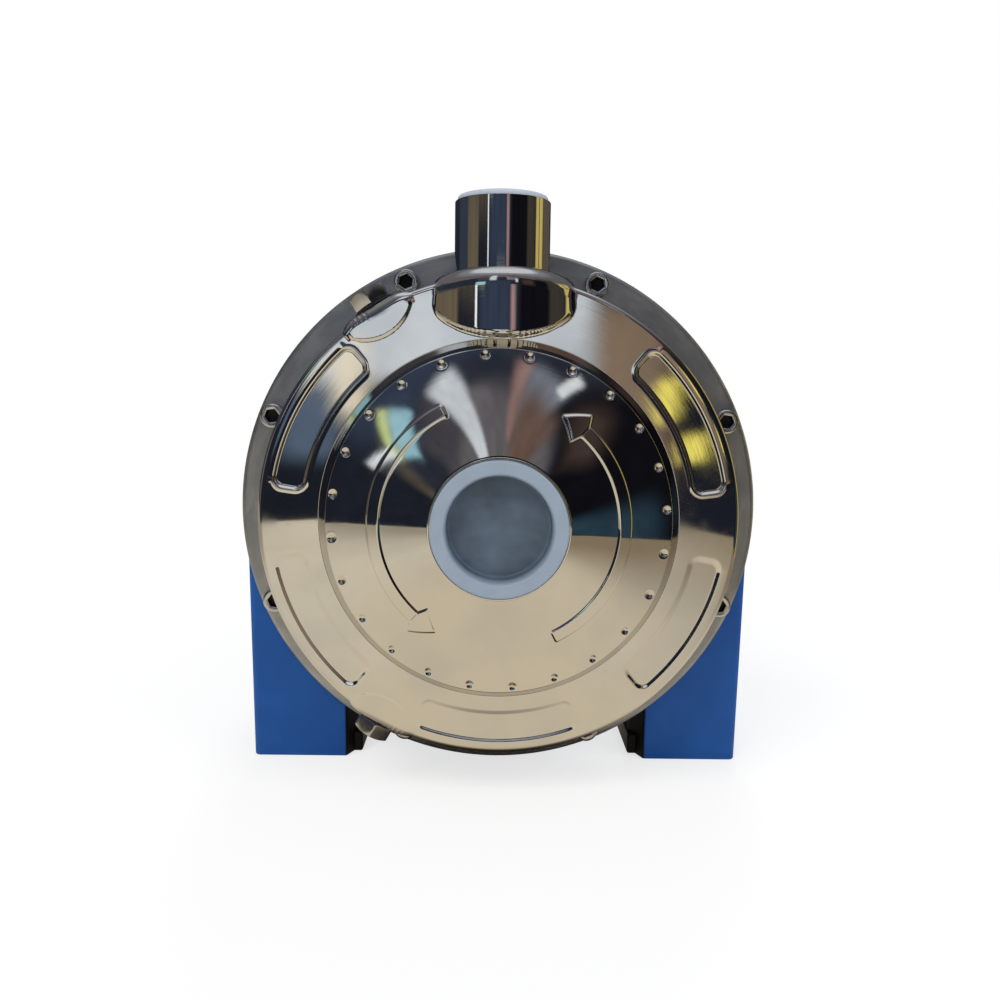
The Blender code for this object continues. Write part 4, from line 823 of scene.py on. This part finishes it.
bracket = {"face": 7.9, "depth": 58.0, "flange": 12.0, "radius": 106.0, "bore": 90.0, "wall": 6.0,
           "neck": 68.0, "soleHalf": 104.9, "draft": 1.5, "legTop": 90.0, "innerFront": 64.6,
           "innerRear": 58.6, "legDepth": 14.0, "sideWall": 12.0, "soleLong": 128.0, "soleThick": 9.0,
           "tail": 24.0, "edge": 1.2, "ribLong": 40.0, "ribDrop": 30.0, "cheekStart": 4.0, "soleStart": 6.0,
           "soleInset": 3.0, "soleCut": 8.0, "neckLong": 14.0, "seat": 46.3, "boss": 20.3, "bossWall": 6.0,
           "bossLong": 12.0, "stop": 6.0, "webFront": 4.0, "webRear": 10.0, "spigot": 52.2,
           "spigotLong": 5.0, "spigotWall": 4.5, "steps": 240}


def bracketProfile():
    # Flange, lantern cone, web with the front bearing's seat and the frame's spigot, as one closed outline.
    face, back = bracket["face"], bracket["face"] + bracket["flange"]
    rear, neck, bore = bracket["face"] + bracket["depth"], bracket["neck"], bracket["bore"]
    seat, boss, spigot = bracket["seat"], bracket["boss"], bracket["spigot"]
    wall, bossOuter, stop = bracket["wall"], boss + bracket["bossWall"], boss - bracket["stop"]
    tip, cup = rear + bracket["spigotLong"], spigot - bracket["spigotWall"]
    webFront, webRear = seat - bracket["webFront"], seat + bracket["webRear"]
    bossEnd = seat + bracket["bossLong"]
    outline = [(bore, face), (bracket["radius"], face), (bracket["radius"], back), (bore + wall, back),
               (neck, rear - bracket["neckLong"]), (neck, rear), (spigot, rear), (spigot, tip), (cup, tip),
               (cup, webRear), (bossOuter + 1, webRear), (bossOuter, bossEnd), (boss, bossEnd), (boss, seat),
               (stop, seat), (stop, webFront), (boss + 8, webFront), (neck - wall - 4, seat),
               (bore - 2, back), (bore, back - 4)]
    radius = [0.5, 1.5, 1.5, 6, 8, 1.2, 0.3, 0.5, 0.5, 3, 2, 1, 0.5, 0.3, 0.3, 0.5, 3, 5, 2, 1]
    return roundedLine(outline, radius, 6)


def legParts(side):
    # Front wall, side wall and sole of one leg, each an outline carried along an axis.
    y0, edge = faceY + bracket["face"], bracket["edge"]
    inner, outer, rear = bracket["innerFront"], bracket["soleHalf"], bracket["innerRear"]
    front = [(inner, 0), (outer, 0), (outer, bracket["legDepth"]), (rear, bracket["legDepth"])]
    outline = roundedLine([(side * x, y0 + y) for x, y in front], [1.6, 2.5, 2.0, 1.6], 6)
    wall = block(outline, 0.0, bracket["legTop"], uprightFrame(0, 0, 0), 0.8)
    wall[0][:, 0] += side * bracket["draft"] * np.clip(wall[0][:, 2] / bracket["legTop"], 0, 1)
    start, long, top = bracket["cheekStart"], bracket["soleLong"], bracket["legTop"]
    profile = [(start, 0), (long, 0), (long, bracket["tail"]),
               (bracket["legDepth"] + bracket["ribLong"], top - bracket["ribDrop"]), (start, top - start)]
    outline = roundedLine([(y0 + y, z) for y, z in profile], [0.8, 1, 6, 14, 2], 8)
    low, high = sorted((side * (outer - bracket["sideWall"]), side * outer))
    cheek = block(outline, low, high, sidewaysFrame(0, 0, 0), edge)
    cheek[0][:, 0] += side * bracket["draft"] * np.clip(cheek[0][:, 2] / bracket["legTop"], 0, 1)
    start, border, cut = bracket["soleStart"], outer - bracket["soleInset"], bracket["soleCut"]
    sole = [(rear, start), (border, start), (border, long), (rear + cut, long), (rear, long - cut)]
    outline = roundedLine([(side * x, y0 + y) for x, y in sole], [1, 1, 1, 3, 3], 6)
    return [wall, cheek, block(outline, 0.0, bracket["soleThick"], uprightFrame(0, 0, 0), 1.0)]


bracketParts = [lathe(bracketProfile(), bracket["steps"])] + legParts(1) + legParts(-1)
addPiece("bracketBody", bracketParts, paint, "motor_bracket")
print("bracket cast")

# Motor

motor = {"bore": 52.8, "valley": 56.5, "fin": 66.0, "finThick": 2.5, "fins": 24, "ease": 1.6, "low": 66.2,
         "high": 206.2, "padLevel": 70.0, "padHalf": 31.0, "padInset": 2.0, "padSunk": 4.0,
         "boxStart": 97.9, "boxLong": 76.0}


def finOutline():
    # One fin as a round-tipped strip with eased roots, repeated round the frame.
    half, tip, root = motor["finThick"] / 2, motor["fin"], motor["valley"]
    pitch = 2 * pi / motor["fins"]
    ease, t = motor["ease"], np.linspace(0, pi / 2, 7)
    side = np.stack([half + ease * (1 - np.sin(t)), root + ease * (1 - np.cos(t))], -1)
    bow = np.linspace(0, pi, 9)
    cap = np.stack([half * np.cos(bow), tip - half + half * np.sin(bow)], -1)
    fin = np.vstack([side, cap, side[::-1] * [-1, 1]])
    angle = np.arctan2(fin[:, 0], fin[:, 1])
    radius = np.hypot(fin[:, 0], fin[:, 1])
    valley = np.linspace(angle[-1], angle[0] - pitch, 5)[1:-1]
    angle, radius = np.concatenate([angle, valley]), np.concatenate([radius, np.full(3, root)])
    turn = angle[None] - (np.arange(motor["fins"])[:, None] + 0.5) * pitch
    return turn.ravel(), np.tile(radius, motor["fins"])


turn, radius = finOutline()
low, high, edge, ease = motor["low"], motor["high"], 0.6, 0.2
ringRows = [(motor["bore"], low), (radius - edge, low), (radius - ease, low + ease), (radius, low + edge),
            (radius, high - edge), (radius - ease, high - ease), (radius - edge, high), (motor["bore"], high)]
rows = np.stack([shaftPoint(r, h, turn) for r, h in ringRows])
padPlace = uprightFrame(0, faceY, axisZ)
padLow = (-motor["padHalf"], motor["boxStart"] + motor["padInset"], motor["valley"] - motor["padSunk"])
padHigh = (motor["padHalf"], motor["boxStart"] + motor["boxLong"] - motor["padInset"], motor["padLevel"])
boxPad = box(padLow, padHigh, padPlace, 0.8, 3)
addPiece("motorFrame", [lattice(rows, closeRows=True), boxPad], paint, "motor_frame")

fanCover = {"radius": 66.0, "start": 207.5, "end": 264.5, "sheet": 1.5, "corner": 8.0, "slots": 12,
            "inner": 16.0, "outer": 52.0, "width": 4.0, "late": 14.0}


def fanCoverSkin():
    # Cup whose columns lean so that two of them follow each straight slot; slot faces are left out.
    sector, size, bend, end = pi / fanCover["slots"], fanCover["radius"], fanCover["corner"], fanCover["end"]
    r = np.array([3.0, 8.0, 13.0, 16.0, 20.0, 25.0, 30.0, 35.0, 40.0, 44.0, 48.0, 52.0, 55.0, 57.5])
    lean = np.arcsin(np.clip(fanCover["width"] / 2 / np.maximum(r, 5.0), 0, 1))
    lean = np.minimum(lean, sector * 0.8)[:, None]
    # shares of a sector: up to a quarter lies inside the slot, the rest spreads to the sector's ends
    share = np.array([-1, -0.6, -0.25, 0.0, 0.25, 0.6])
    beyond = np.sign(share) * (lean + (sector - lean) * (np.abs(share) - 0.25) / 0.75)
    offsets = np.where(np.abs(share) <= 0.25, share / 0.25 * lean, beyond)
    centers = np.arange(fanCover["slots"]) * 2 * sector
    turn = (centers[None, :, None] + offsets[:, None, :]).reshape(len(r), -1)
    corner = np.linspace(pi / 2, 0, 8)
    sideLevels = np.linspace(end - bend, fanCover["start"], 8)[1:]
    allR = np.concatenate([r, size - bend + bend * np.cos(corner), np.full(7, size)])
    allH = np.concatenate([np.full(len(r), end), end - bend + bend * np.sin(corner), sideLevels])
    turn = np.vstack([turn, np.repeat(turn[-1:], len(allR) - len(r), 0)])
    points = shaftPoint(allR[:, None], allH[:, None], turn)
    rows, columns = points.shape[:2]
    cell, slotNumber = np.arange(columns) % len(share), np.arange(columns) // len(share)
    begin = np.where(slotNumber % 2 == 0, fanCover["inner"] + fanCover["late"], fanCover["inner"])
    rowLow, rowHigh, onFace = allR[:-1, None], allR[1:, None], np.arange(rows - 1)[:, None] < len(r) - 1
    within = (rowLow >= begin - 0.01) & (rowHigh <= fanCover["outer"] + 0.01)
    hole = ((cell == 2) | (cell == 3)) & within & onFace
    return points.reshape(-1, 3), [gridQuads(gridIndex(points))[~hole], np.arange(columns)[None]]


shell = addPiece("fanCoverShell", [fanCoverSkin()], paint, "fan_cover")
thick = shell.modifiers.new("sheet", "SOLIDIFY")
thick.thickness, thick.offset = fanCover["sheet"] * mm, -1.0
thick.use_even_offset = True

rods = {"radius": 2.5, "head": 4.2, "headLong": 5.0, "count": 4, "steps": 32}
for k in range(rods["count"]):
    low, high = [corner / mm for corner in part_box(f"tie_rod_{k + 1}")]
    place = (np.array([(low.x + high.x) / 2, 0, (low.z + high.z) / 2]), rightAxis, upAxis, rearAxis)
    y0, y1 = low.y, high.y
    seat = y1 - rods["headLong"]
    profile = [(0, y0), (rods["radius"], y0), (rods["radius"], seat), (rods["head"], seat),
               (rods["head"], y1), (0, y1)]
    profile = roundedLine(profile, [0, 0.5, 0.1, 0.3, 0.6, 0], 4, closed=False)
    rod = lathe(profile, rods["steps"], place, loop=False)
    addPiece(f"tieRod{k + 1}", [rod], zinc, f"tie_rod_{k + 1}")

terminal = {"halfWidth": 35.0, "long": 76.0, "low": 70.3, "high": 98.3, "lidLow": 98.6, "lidHigh": 106.6,
            "overhang": 1.5, "wall": 2.5, "post": 4, "postInset": 6}


def hollowBox(low, high, wall, place, corner, edge):
    # A rounded tray: outer side, rim and inner side as rings of one outline, with flat floors.
    base, top = low[2], high[2]
    rings = [(edge * (1 - sin(a)), base + edge * (1 - cos(a))) for a in np.linspace(0, pi / 2, 5)]
    rings += [(0, base + edge + 0.2), (0, top - 0.5), (0.15, top - 0.15), (0.5, top), (wall - 0.5, top),
              (wall - 0.15, top - 0.15), (wall, top - 0.5), (wall, base + wall)]
    points = []
    for inset, level in rings:
        x0, y0, x1, y1 = low[0] + inset, low[1] + inset, high[0] - inset, high[1] - inset
        line = roundedLine([(x0, y0), (x1, y0), (x1, y1), (x0, y1)], max(corner - inset, 0.6), 6)
        points.append(placed(place, line[:, 0], line[:, 1], level))
    return closedStack(np.stack(points))


place = uprightFrame(0, faceY, axisZ)
half, start, end = terminal["halfWidth"], motor["boxStart"], motor["boxStart"] + terminal["long"]
bottom, rim, post = terminal["low"], terminal["high"], terminal["post"]
boxParts = [hollowBox((-half, start, bottom), (half, end, rim), terminal["wall"], place, 4.0, 1.2)]
inset = terminal["postInset"]
for x in (-half + inset, half - inset):
    for y in (start + inset, end - inset):
        low, high = (x - post, y - post, bottom + 1), (x + post, y + post, rim - 0.05)
        boxParts.append(box(low, high, place, 0.3, 1.0))
addPiece("terminalBox", boxParts, black, "terminal_box")
over = terminal["overhang"]
lid = box((-half - over, start - over, terminal["lidLow"]), (half + over, end + over, terminal["lidHigh"]),
          place, 2.2, 5.0)
addPiece("terminalLid", [lid], black, "terminal_lid")

smallScrew = {"head": 3.7, "rise": 2.4, "recess": 1.1, "shank": 2.0, "steps": 48, "lidCount": 4,
              "coverCount": 3, "coverBehind": 212.5, "coverSeat": 66.3, "coverTip": 56.6}


def panScrewPart(place, seat, tip):
    # A domed head with a cross recess: its height is a dome less a notch where x or y is near zero.
    turn = fullTurn(smallScrew["steps"])[None]
    r = np.array([0.0, 0.3, 0.6, 0.9, 1.2, 1.5, 1.8, 2.1, 2.5, 2.9, 3.3, 3.55, 3.7])[:, None]
    dome = smallScrew["rise"] - (r / smallScrew["head"]) ** 3
    x, y = np.abs(r * np.sin(turn)), np.abs(r * np.cos(turn))
    notch = smoothStep(-np.minimum(x, y), -0.55, -0.25) * smoothStep(-r, -2.0, -1.7)
    head, shank = smallScrew["head"], smallScrew["shank"]
    rings = list(zip(r, seat + dome - smallScrew["recess"] * notch))
    rings += [(head, seat + 0.3), (head - 0.2, seat), (shank, seat), (shank, tip + 0.5),
              (shank - 0.6, tip), (0, tip)]
    return ringLattice(place, turn[0], rings)


for k in range(smallScrew["lidCount"]):
    low, high = [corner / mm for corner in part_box(f"lid_screw_{k + 1}")]
    place = uprightFrame((low.x + high.x) / 2, (low.y + high.y) / 2, 0)
    part = panScrewPart(place, high.z - smallScrew["rise"], low.z)
    addPiece(f"lidScrew{k + 1}", [part], zinc, f"lid_screw_{k + 1}")
for k in range(smallScrew["coverCount"]):
    place = radialFrame(360.0 * (k + 0.5) / smallScrew["coverCount"], -smallScrew["coverBehind"])
    part = panScrewPart(place, smallScrew["coverSeat"], smallScrew["coverTip"])
    addPiece(f"fanCoverScrew{k + 1}", [part], zinc, f"fan_cover_screw_{k + 1}")
print("motor and terminal box built")

# Nodes that keep their CAD mesh

kept = [(satin, "casing_cover suction_plate impeller impeller_washer"), (paint, "end_shield"),
        (rubber, "casing_o_ring splash_ring"), (ceramic, "seal_seat terminal_board"), (carbon, "seal_ring"),
        (screwMetal, "impeller_nut front_bearing_balls rear_bearing_balls"), (black, "fan cable_gland"),
        (turnedSteel, "impeller_key shaft seal_spring front_bearing_outer_ring front_bearing_inner_ring "
                      "rear_bearing_outer_ring rear_bearing_inner_ring"),
        (coreSteel, "stator_core rotor_core"), (copper, "front_winding rear_winding")]
for material, names in kept:
    for name in names.split():
        slots = nodes[name].material_slots
        if len(slots) == 0:
            nodes[name].data.materials.append(material)
        for slot in slots:
            slot.material = material
print("carried-over nodes finished")

# Studio

# The card table's corners and the room's size in metres.
studio = {"room": 14.0, "rows": (-40, -30, -20, -12, -6, 0, 6, 12, 20, 30, 40, 50, 60, 70, 80),
          "around": 72, "tableLevel": 0.0004, "floor": 4.0, "strength": 1.3, "lampSize": 1.2,
          "aim": (0, 0, 0.1),
          "table": [(-1.6, -0.1), (-0.6, -0.607), (-0.49, -0.78), (-0.208, -0.925), (0.219, -0.922),
                    (0.367, -0.609), (0.434, -0.468), (0.44, 0.1), (0.44, 1.6), (-1.6, 1.6)]}


def studioWorld():
    world = bpy.data.worlds.new("studio")
    bpy.context.scene.world = world
    s = Shade("studio", world)
    soft = s.node("ShaderNodeBackground", None, {"Color": (0.93, 0.95, 1.0, 1), "Strength": 0.55})
    white = s.node("ShaderNodeBackground", None, {"Color": (1, 1, 1, 1), "Strength": 1.0})
    s.end(s.node("ShaderNodeMixShader", None, {0: s.shown(), 1: soft, 2: white}))


def floorMaterial():
    s = Shade("paleFloor")
    diffuse = s.node("ShaderNodeBsdfDiffuse", None, {"Color": (0.9, 0.9, 0.89, 1)})
    # the glow takes over with distance, so the far floor is as white as the world
    here = s.node("ShaderNodeTexCoord", output=3)
    share = (0.7 + 0.3 * s.step(s.vector("LENGTH", here, output=1), 0.2, 0.7)) * s.shown()
    return s.end(s.node("ShaderNodeMixShader", None, {0: share, 1: diffuse, 2: s.glow((1, 1, 1, 1), 1.0)}))


def tableMaterial():
    # Pale wood, darker to both sides, paler near the pump, with a painted shadow of the pump dim close under
    # it.
    s = Shade("tableTop")
    here = s.node("ShaderNodeTexCoord", output=3)
    away = s.vector("LENGTH", s.vector("SUBTRACT", here, (0, faceY * mm, 0)), output=1)
    sideways = s.split(here)[0]
    wood = s.mix(s.noise(here, 9.0, 4.0, 0.6), rgb(234, 226, 208), rgb(212, 201, 180))
    wood = s.mix(s.step(sideways, 0.03, 0.32), wood, rgb(146, 131, 109))
    wood = s.mix(s.step(0 - sideways, 0.2, 0.5), wood, rgb(170, 160, 144))
    wood = s.mix(s.step(away, 0.3, 0.14), wood, rgb(220, 207, 184))
    # painted shadow of the pump on the table, close under it
    wood = s.mix(s.step(away, 0.1, 0.04), wood, rgb(44, 37, 29))
    return s.end(s.glow(wood, 1.0))


def stagePiece(name, verts, faces, material):
    mesh = bpy.data.meshes.new(name)
    mesh.from_pydata([tuple(map(float, v)) for v in verts], [], [tuple(map(int, f)) for f in faces])
    mesh.update()
    mesh.materials.append(material)
    piece = bpy.data.objects.new(name, mesh)
    bpy.context.scene.collection.objects.link(piece)
    return piece


def reflectedOnly(piece):
    for ray in ("camera", "diffuse", "shadow", "transmission", "volume_scatter"):
        setattr(piece, "visible_" + ray, False)


studioWorld()
edge = studio["floor"]
floor = stagePiece("floor", [(-edge, -edge, 0), (edge, -edge, 0), (edge, edge, 0), (-edge, edge, 0)],
                   [(0, 1, 2, 3)], floorMaterial())
floor.visible_glossy = False
corners = [(x, y, studio["tableLevel"]) for x, y in studio["table"]]
reflectedOnly(stagePiece("tableCard", corners, [tuple(range(len(corners)))], tableMaterial()))

# What the workshop shows to the steel: colour, azimuth from and to, elevation from and to, softness.
patches = [((104, 94, 78), -92, -36, -20, 14, 4), ((52, 58, 74), -125, -92, -20, 30, 5),
           ((30, 34, 44), -60, -14, -10, 12, 3), ((86, 80, 70), 112, 150, -20, 34, 4),
           ((60, 56, 50), 49, 82, -20, 40, 4), ((196, 178, 104), 86, 110, -20, 34, 2),
           ((16, 16, 22), 20, 60, -15, 30, 4), ((66, 54, 50), 24, 40, 16, 26, 4),
           ((40, 60, 74), 34, 62, -14, -2, 4), ((12, 11, 10), 96, 98, -20, 34, 0.6),
           ((52, 62, 82), -30, 8, 7, 22, 3), ((70, 68, 76), -36, -18, 23, 36, 3),
           ((205, 212, 222), -19, -10, 23, 46, 1.5), ((104, 100, 106), -10, -3, 30, 50, 2),
           ((150, 120, 115), 4, 8, 24, 42, 1.5), ((120, 126, 140), 8, 19, 24, 35, 2),
           ((214, 220, 228), 15.5, 18.6, 20, 26, 0.7), ((104, 84, 76), 8, 26, 30, 50, 4),
           ((158, 128, 130), 9, 15, 7, 14, 2), ((160, 206, 220), -37, -24, 15.5, 21.0, 0.9),
           ((206, 218, 150), -37, -24, 13, 15.2, 0.7), ((240, 246, 252), -36, -33.4, 6.5, 14, 0.5),
           ((84, 100, 122), -13.5, -9.6, -4, 0.4, 0.8), ((130, 112, 96), 6, 11, -6, 6, 1.2),
           ((200, 208, 218), -13.5, 6.2, 0.8, 7.4, 1.0), ((236, 226, 206), -10, -8, -1.5, 3.5, 0.8),
           ((255, 240, 120), 10.2, 11.6, -1.4, 1.2, 0.35), ((255, 240, 120), 11.8, 13.4, -3.9, -2.2, 0.35)]


def roomMaterial():
    # Colour by direction from the pump: azimuth 0 is towards the camera, elevation 0 level with the shaft.
    s = Shade("roomCard")
    here = s.node("ShaderNodeTexCoord", output=3)
    x, y, z = s.split(s.vector("SUBTRACT", here, (0, faceY * mm, axisZ * mm)))
    azimuth = s.maths("ARCTAN2", x, 0 - y) * (180 / pi)
    flat = s.maths("SQRT", x * x + y * y)
    elevation = s.maths("ARCTAN2", z, flat) * (180 / pi)
    color = s.mix(s.step(elevation, 4, 16), rgb(26, 30, 40), rgb(42, 46, 58))
    for low, high, shade in ((26, 36, (98, 96, 100)), (46, 56, (126, 128, 134)), (58, 68, (204, 209, 216))):
        color = s.mix(s.step(elevation, low, high), color, rgb(*shade))
    for shade, azLow, azHigh, elLow, elHigh, soft in patches:
        a = s.step(azimuth, azLow - soft, azLow + soft) - s.step(azimuth, azHigh - soft, azHigh + soft)
        e = s.step(elevation, elLow - soft, elLow + soft) - s.step(elevation, elHigh - soft, elHigh + soft)
        color = s.mix(a * e, color, rgb(*shade))
    # a little unevenness, so that no patch is quite flat
    mottle = s.noise(s.join(azimuth * 0.2, elevation * 0.12, 0.0), 1.0, 5.0, 0.65)
    color = s.mix(1.0, color, s.mix(mottle, (0.45, 0.45, 0.45, 1), (1.4, 1.4, 1.4, 1)), "MULTIPLY")
    return s.end(s.glow(color, studio["strength"]))


# The room is a far dome, so that a direction means the same at every point of the pump.
around = fullTurn(studio["around"])
lift = np.radians(studio["rows"])[:, None]
room = studio["room"]
domePoints = np.stack(np.broadcast_arrays(
    room * np.cos(lift) * np.sin(around), faceY * mm + room * np.cos(lift) * np.cos(around),
    axisZ * mm + room * np.sin(lift)), -1)
index = gridIndex(domePoints)
domeFaces = [*map(tuple, gridQuads(index).reshape(-1, 4)), tuple(index[-1])]
reflectedOnly(stagePiece("roomDome", domePoints.reshape(-1, 3), domeFaces, roomMaterial()))

# Each lamp: place, power, colour.
lamps = {"keyLamp": ((-0.9, -1.3, 1.5), 26.0, (1.0, 0.98, 0.95)),
         "fillLamp": ((1.3, -0.9, 0.9), 12.0, (0.94, 0.97, 1.0)),
         "backLamp": ((0.2, 1.5, 1.4), 18.0, (1, 1, 1))}
for name, (place, power, color) in lamps.items():
    data = bpy.data.lights.new(name, "AREA")
    data.shape, data.size, data.energy, data.color = "DISK", studio["lampSize"], power, color
    piece = bpy.data.objects.new(name, data)
    piece.location = place
    piece.rotation_euler = (Vector(studio["aim"]) - Vector(place)).to_track_quat("-Z", "Y").to_euler()
    bpy.context.scene.collection.objects.link(piece)
    piece.visible_glossy = piece.visible_camera = False

camera = {"place": (-0.002649, faceY * mm - 0.37635, axisZ * mm + 0.048045), "lens": 32.915, "film": 36.0,
          "angles": (-6.619, 0.492, 0.794)}
pitch, yaw, roll = map(radians, camera["angles"])
forward = Vector((sin(yaw) * cos(pitch), cos(yaw) * cos(pitch), sin(pitch)))
level = Vector((cos(yaw), -sin(yaw), 0))
upright = level.cross(forward)
rightward = level * cos(roll) + upright * sin(roll)
upward = upright * cos(roll) - level * sin(roll)
view = bpy.data.cameras.new("view")
view.lens, view.sensor_fit = camera["lens"], "HORIZONTAL"
view.sensor_width = view.sensor_height = camera["film"]
view.clip_start, view.clip_end = 0.01, 50.0
viewpoint = bpy.data.objects.new("view", view)
turnMatrix = Matrix((rightward, upward, -forward)).transposed()
viewpoint.matrix_world = Matrix.Translation(camera["place"]) @ turnMatrix.to_4x4()
bpy.context.scene.collection.objects.link(viewpoint)
bpy.context.scene.camera = viewpoint
bpy.context.scene.view_settings.view_transform = "Standard"
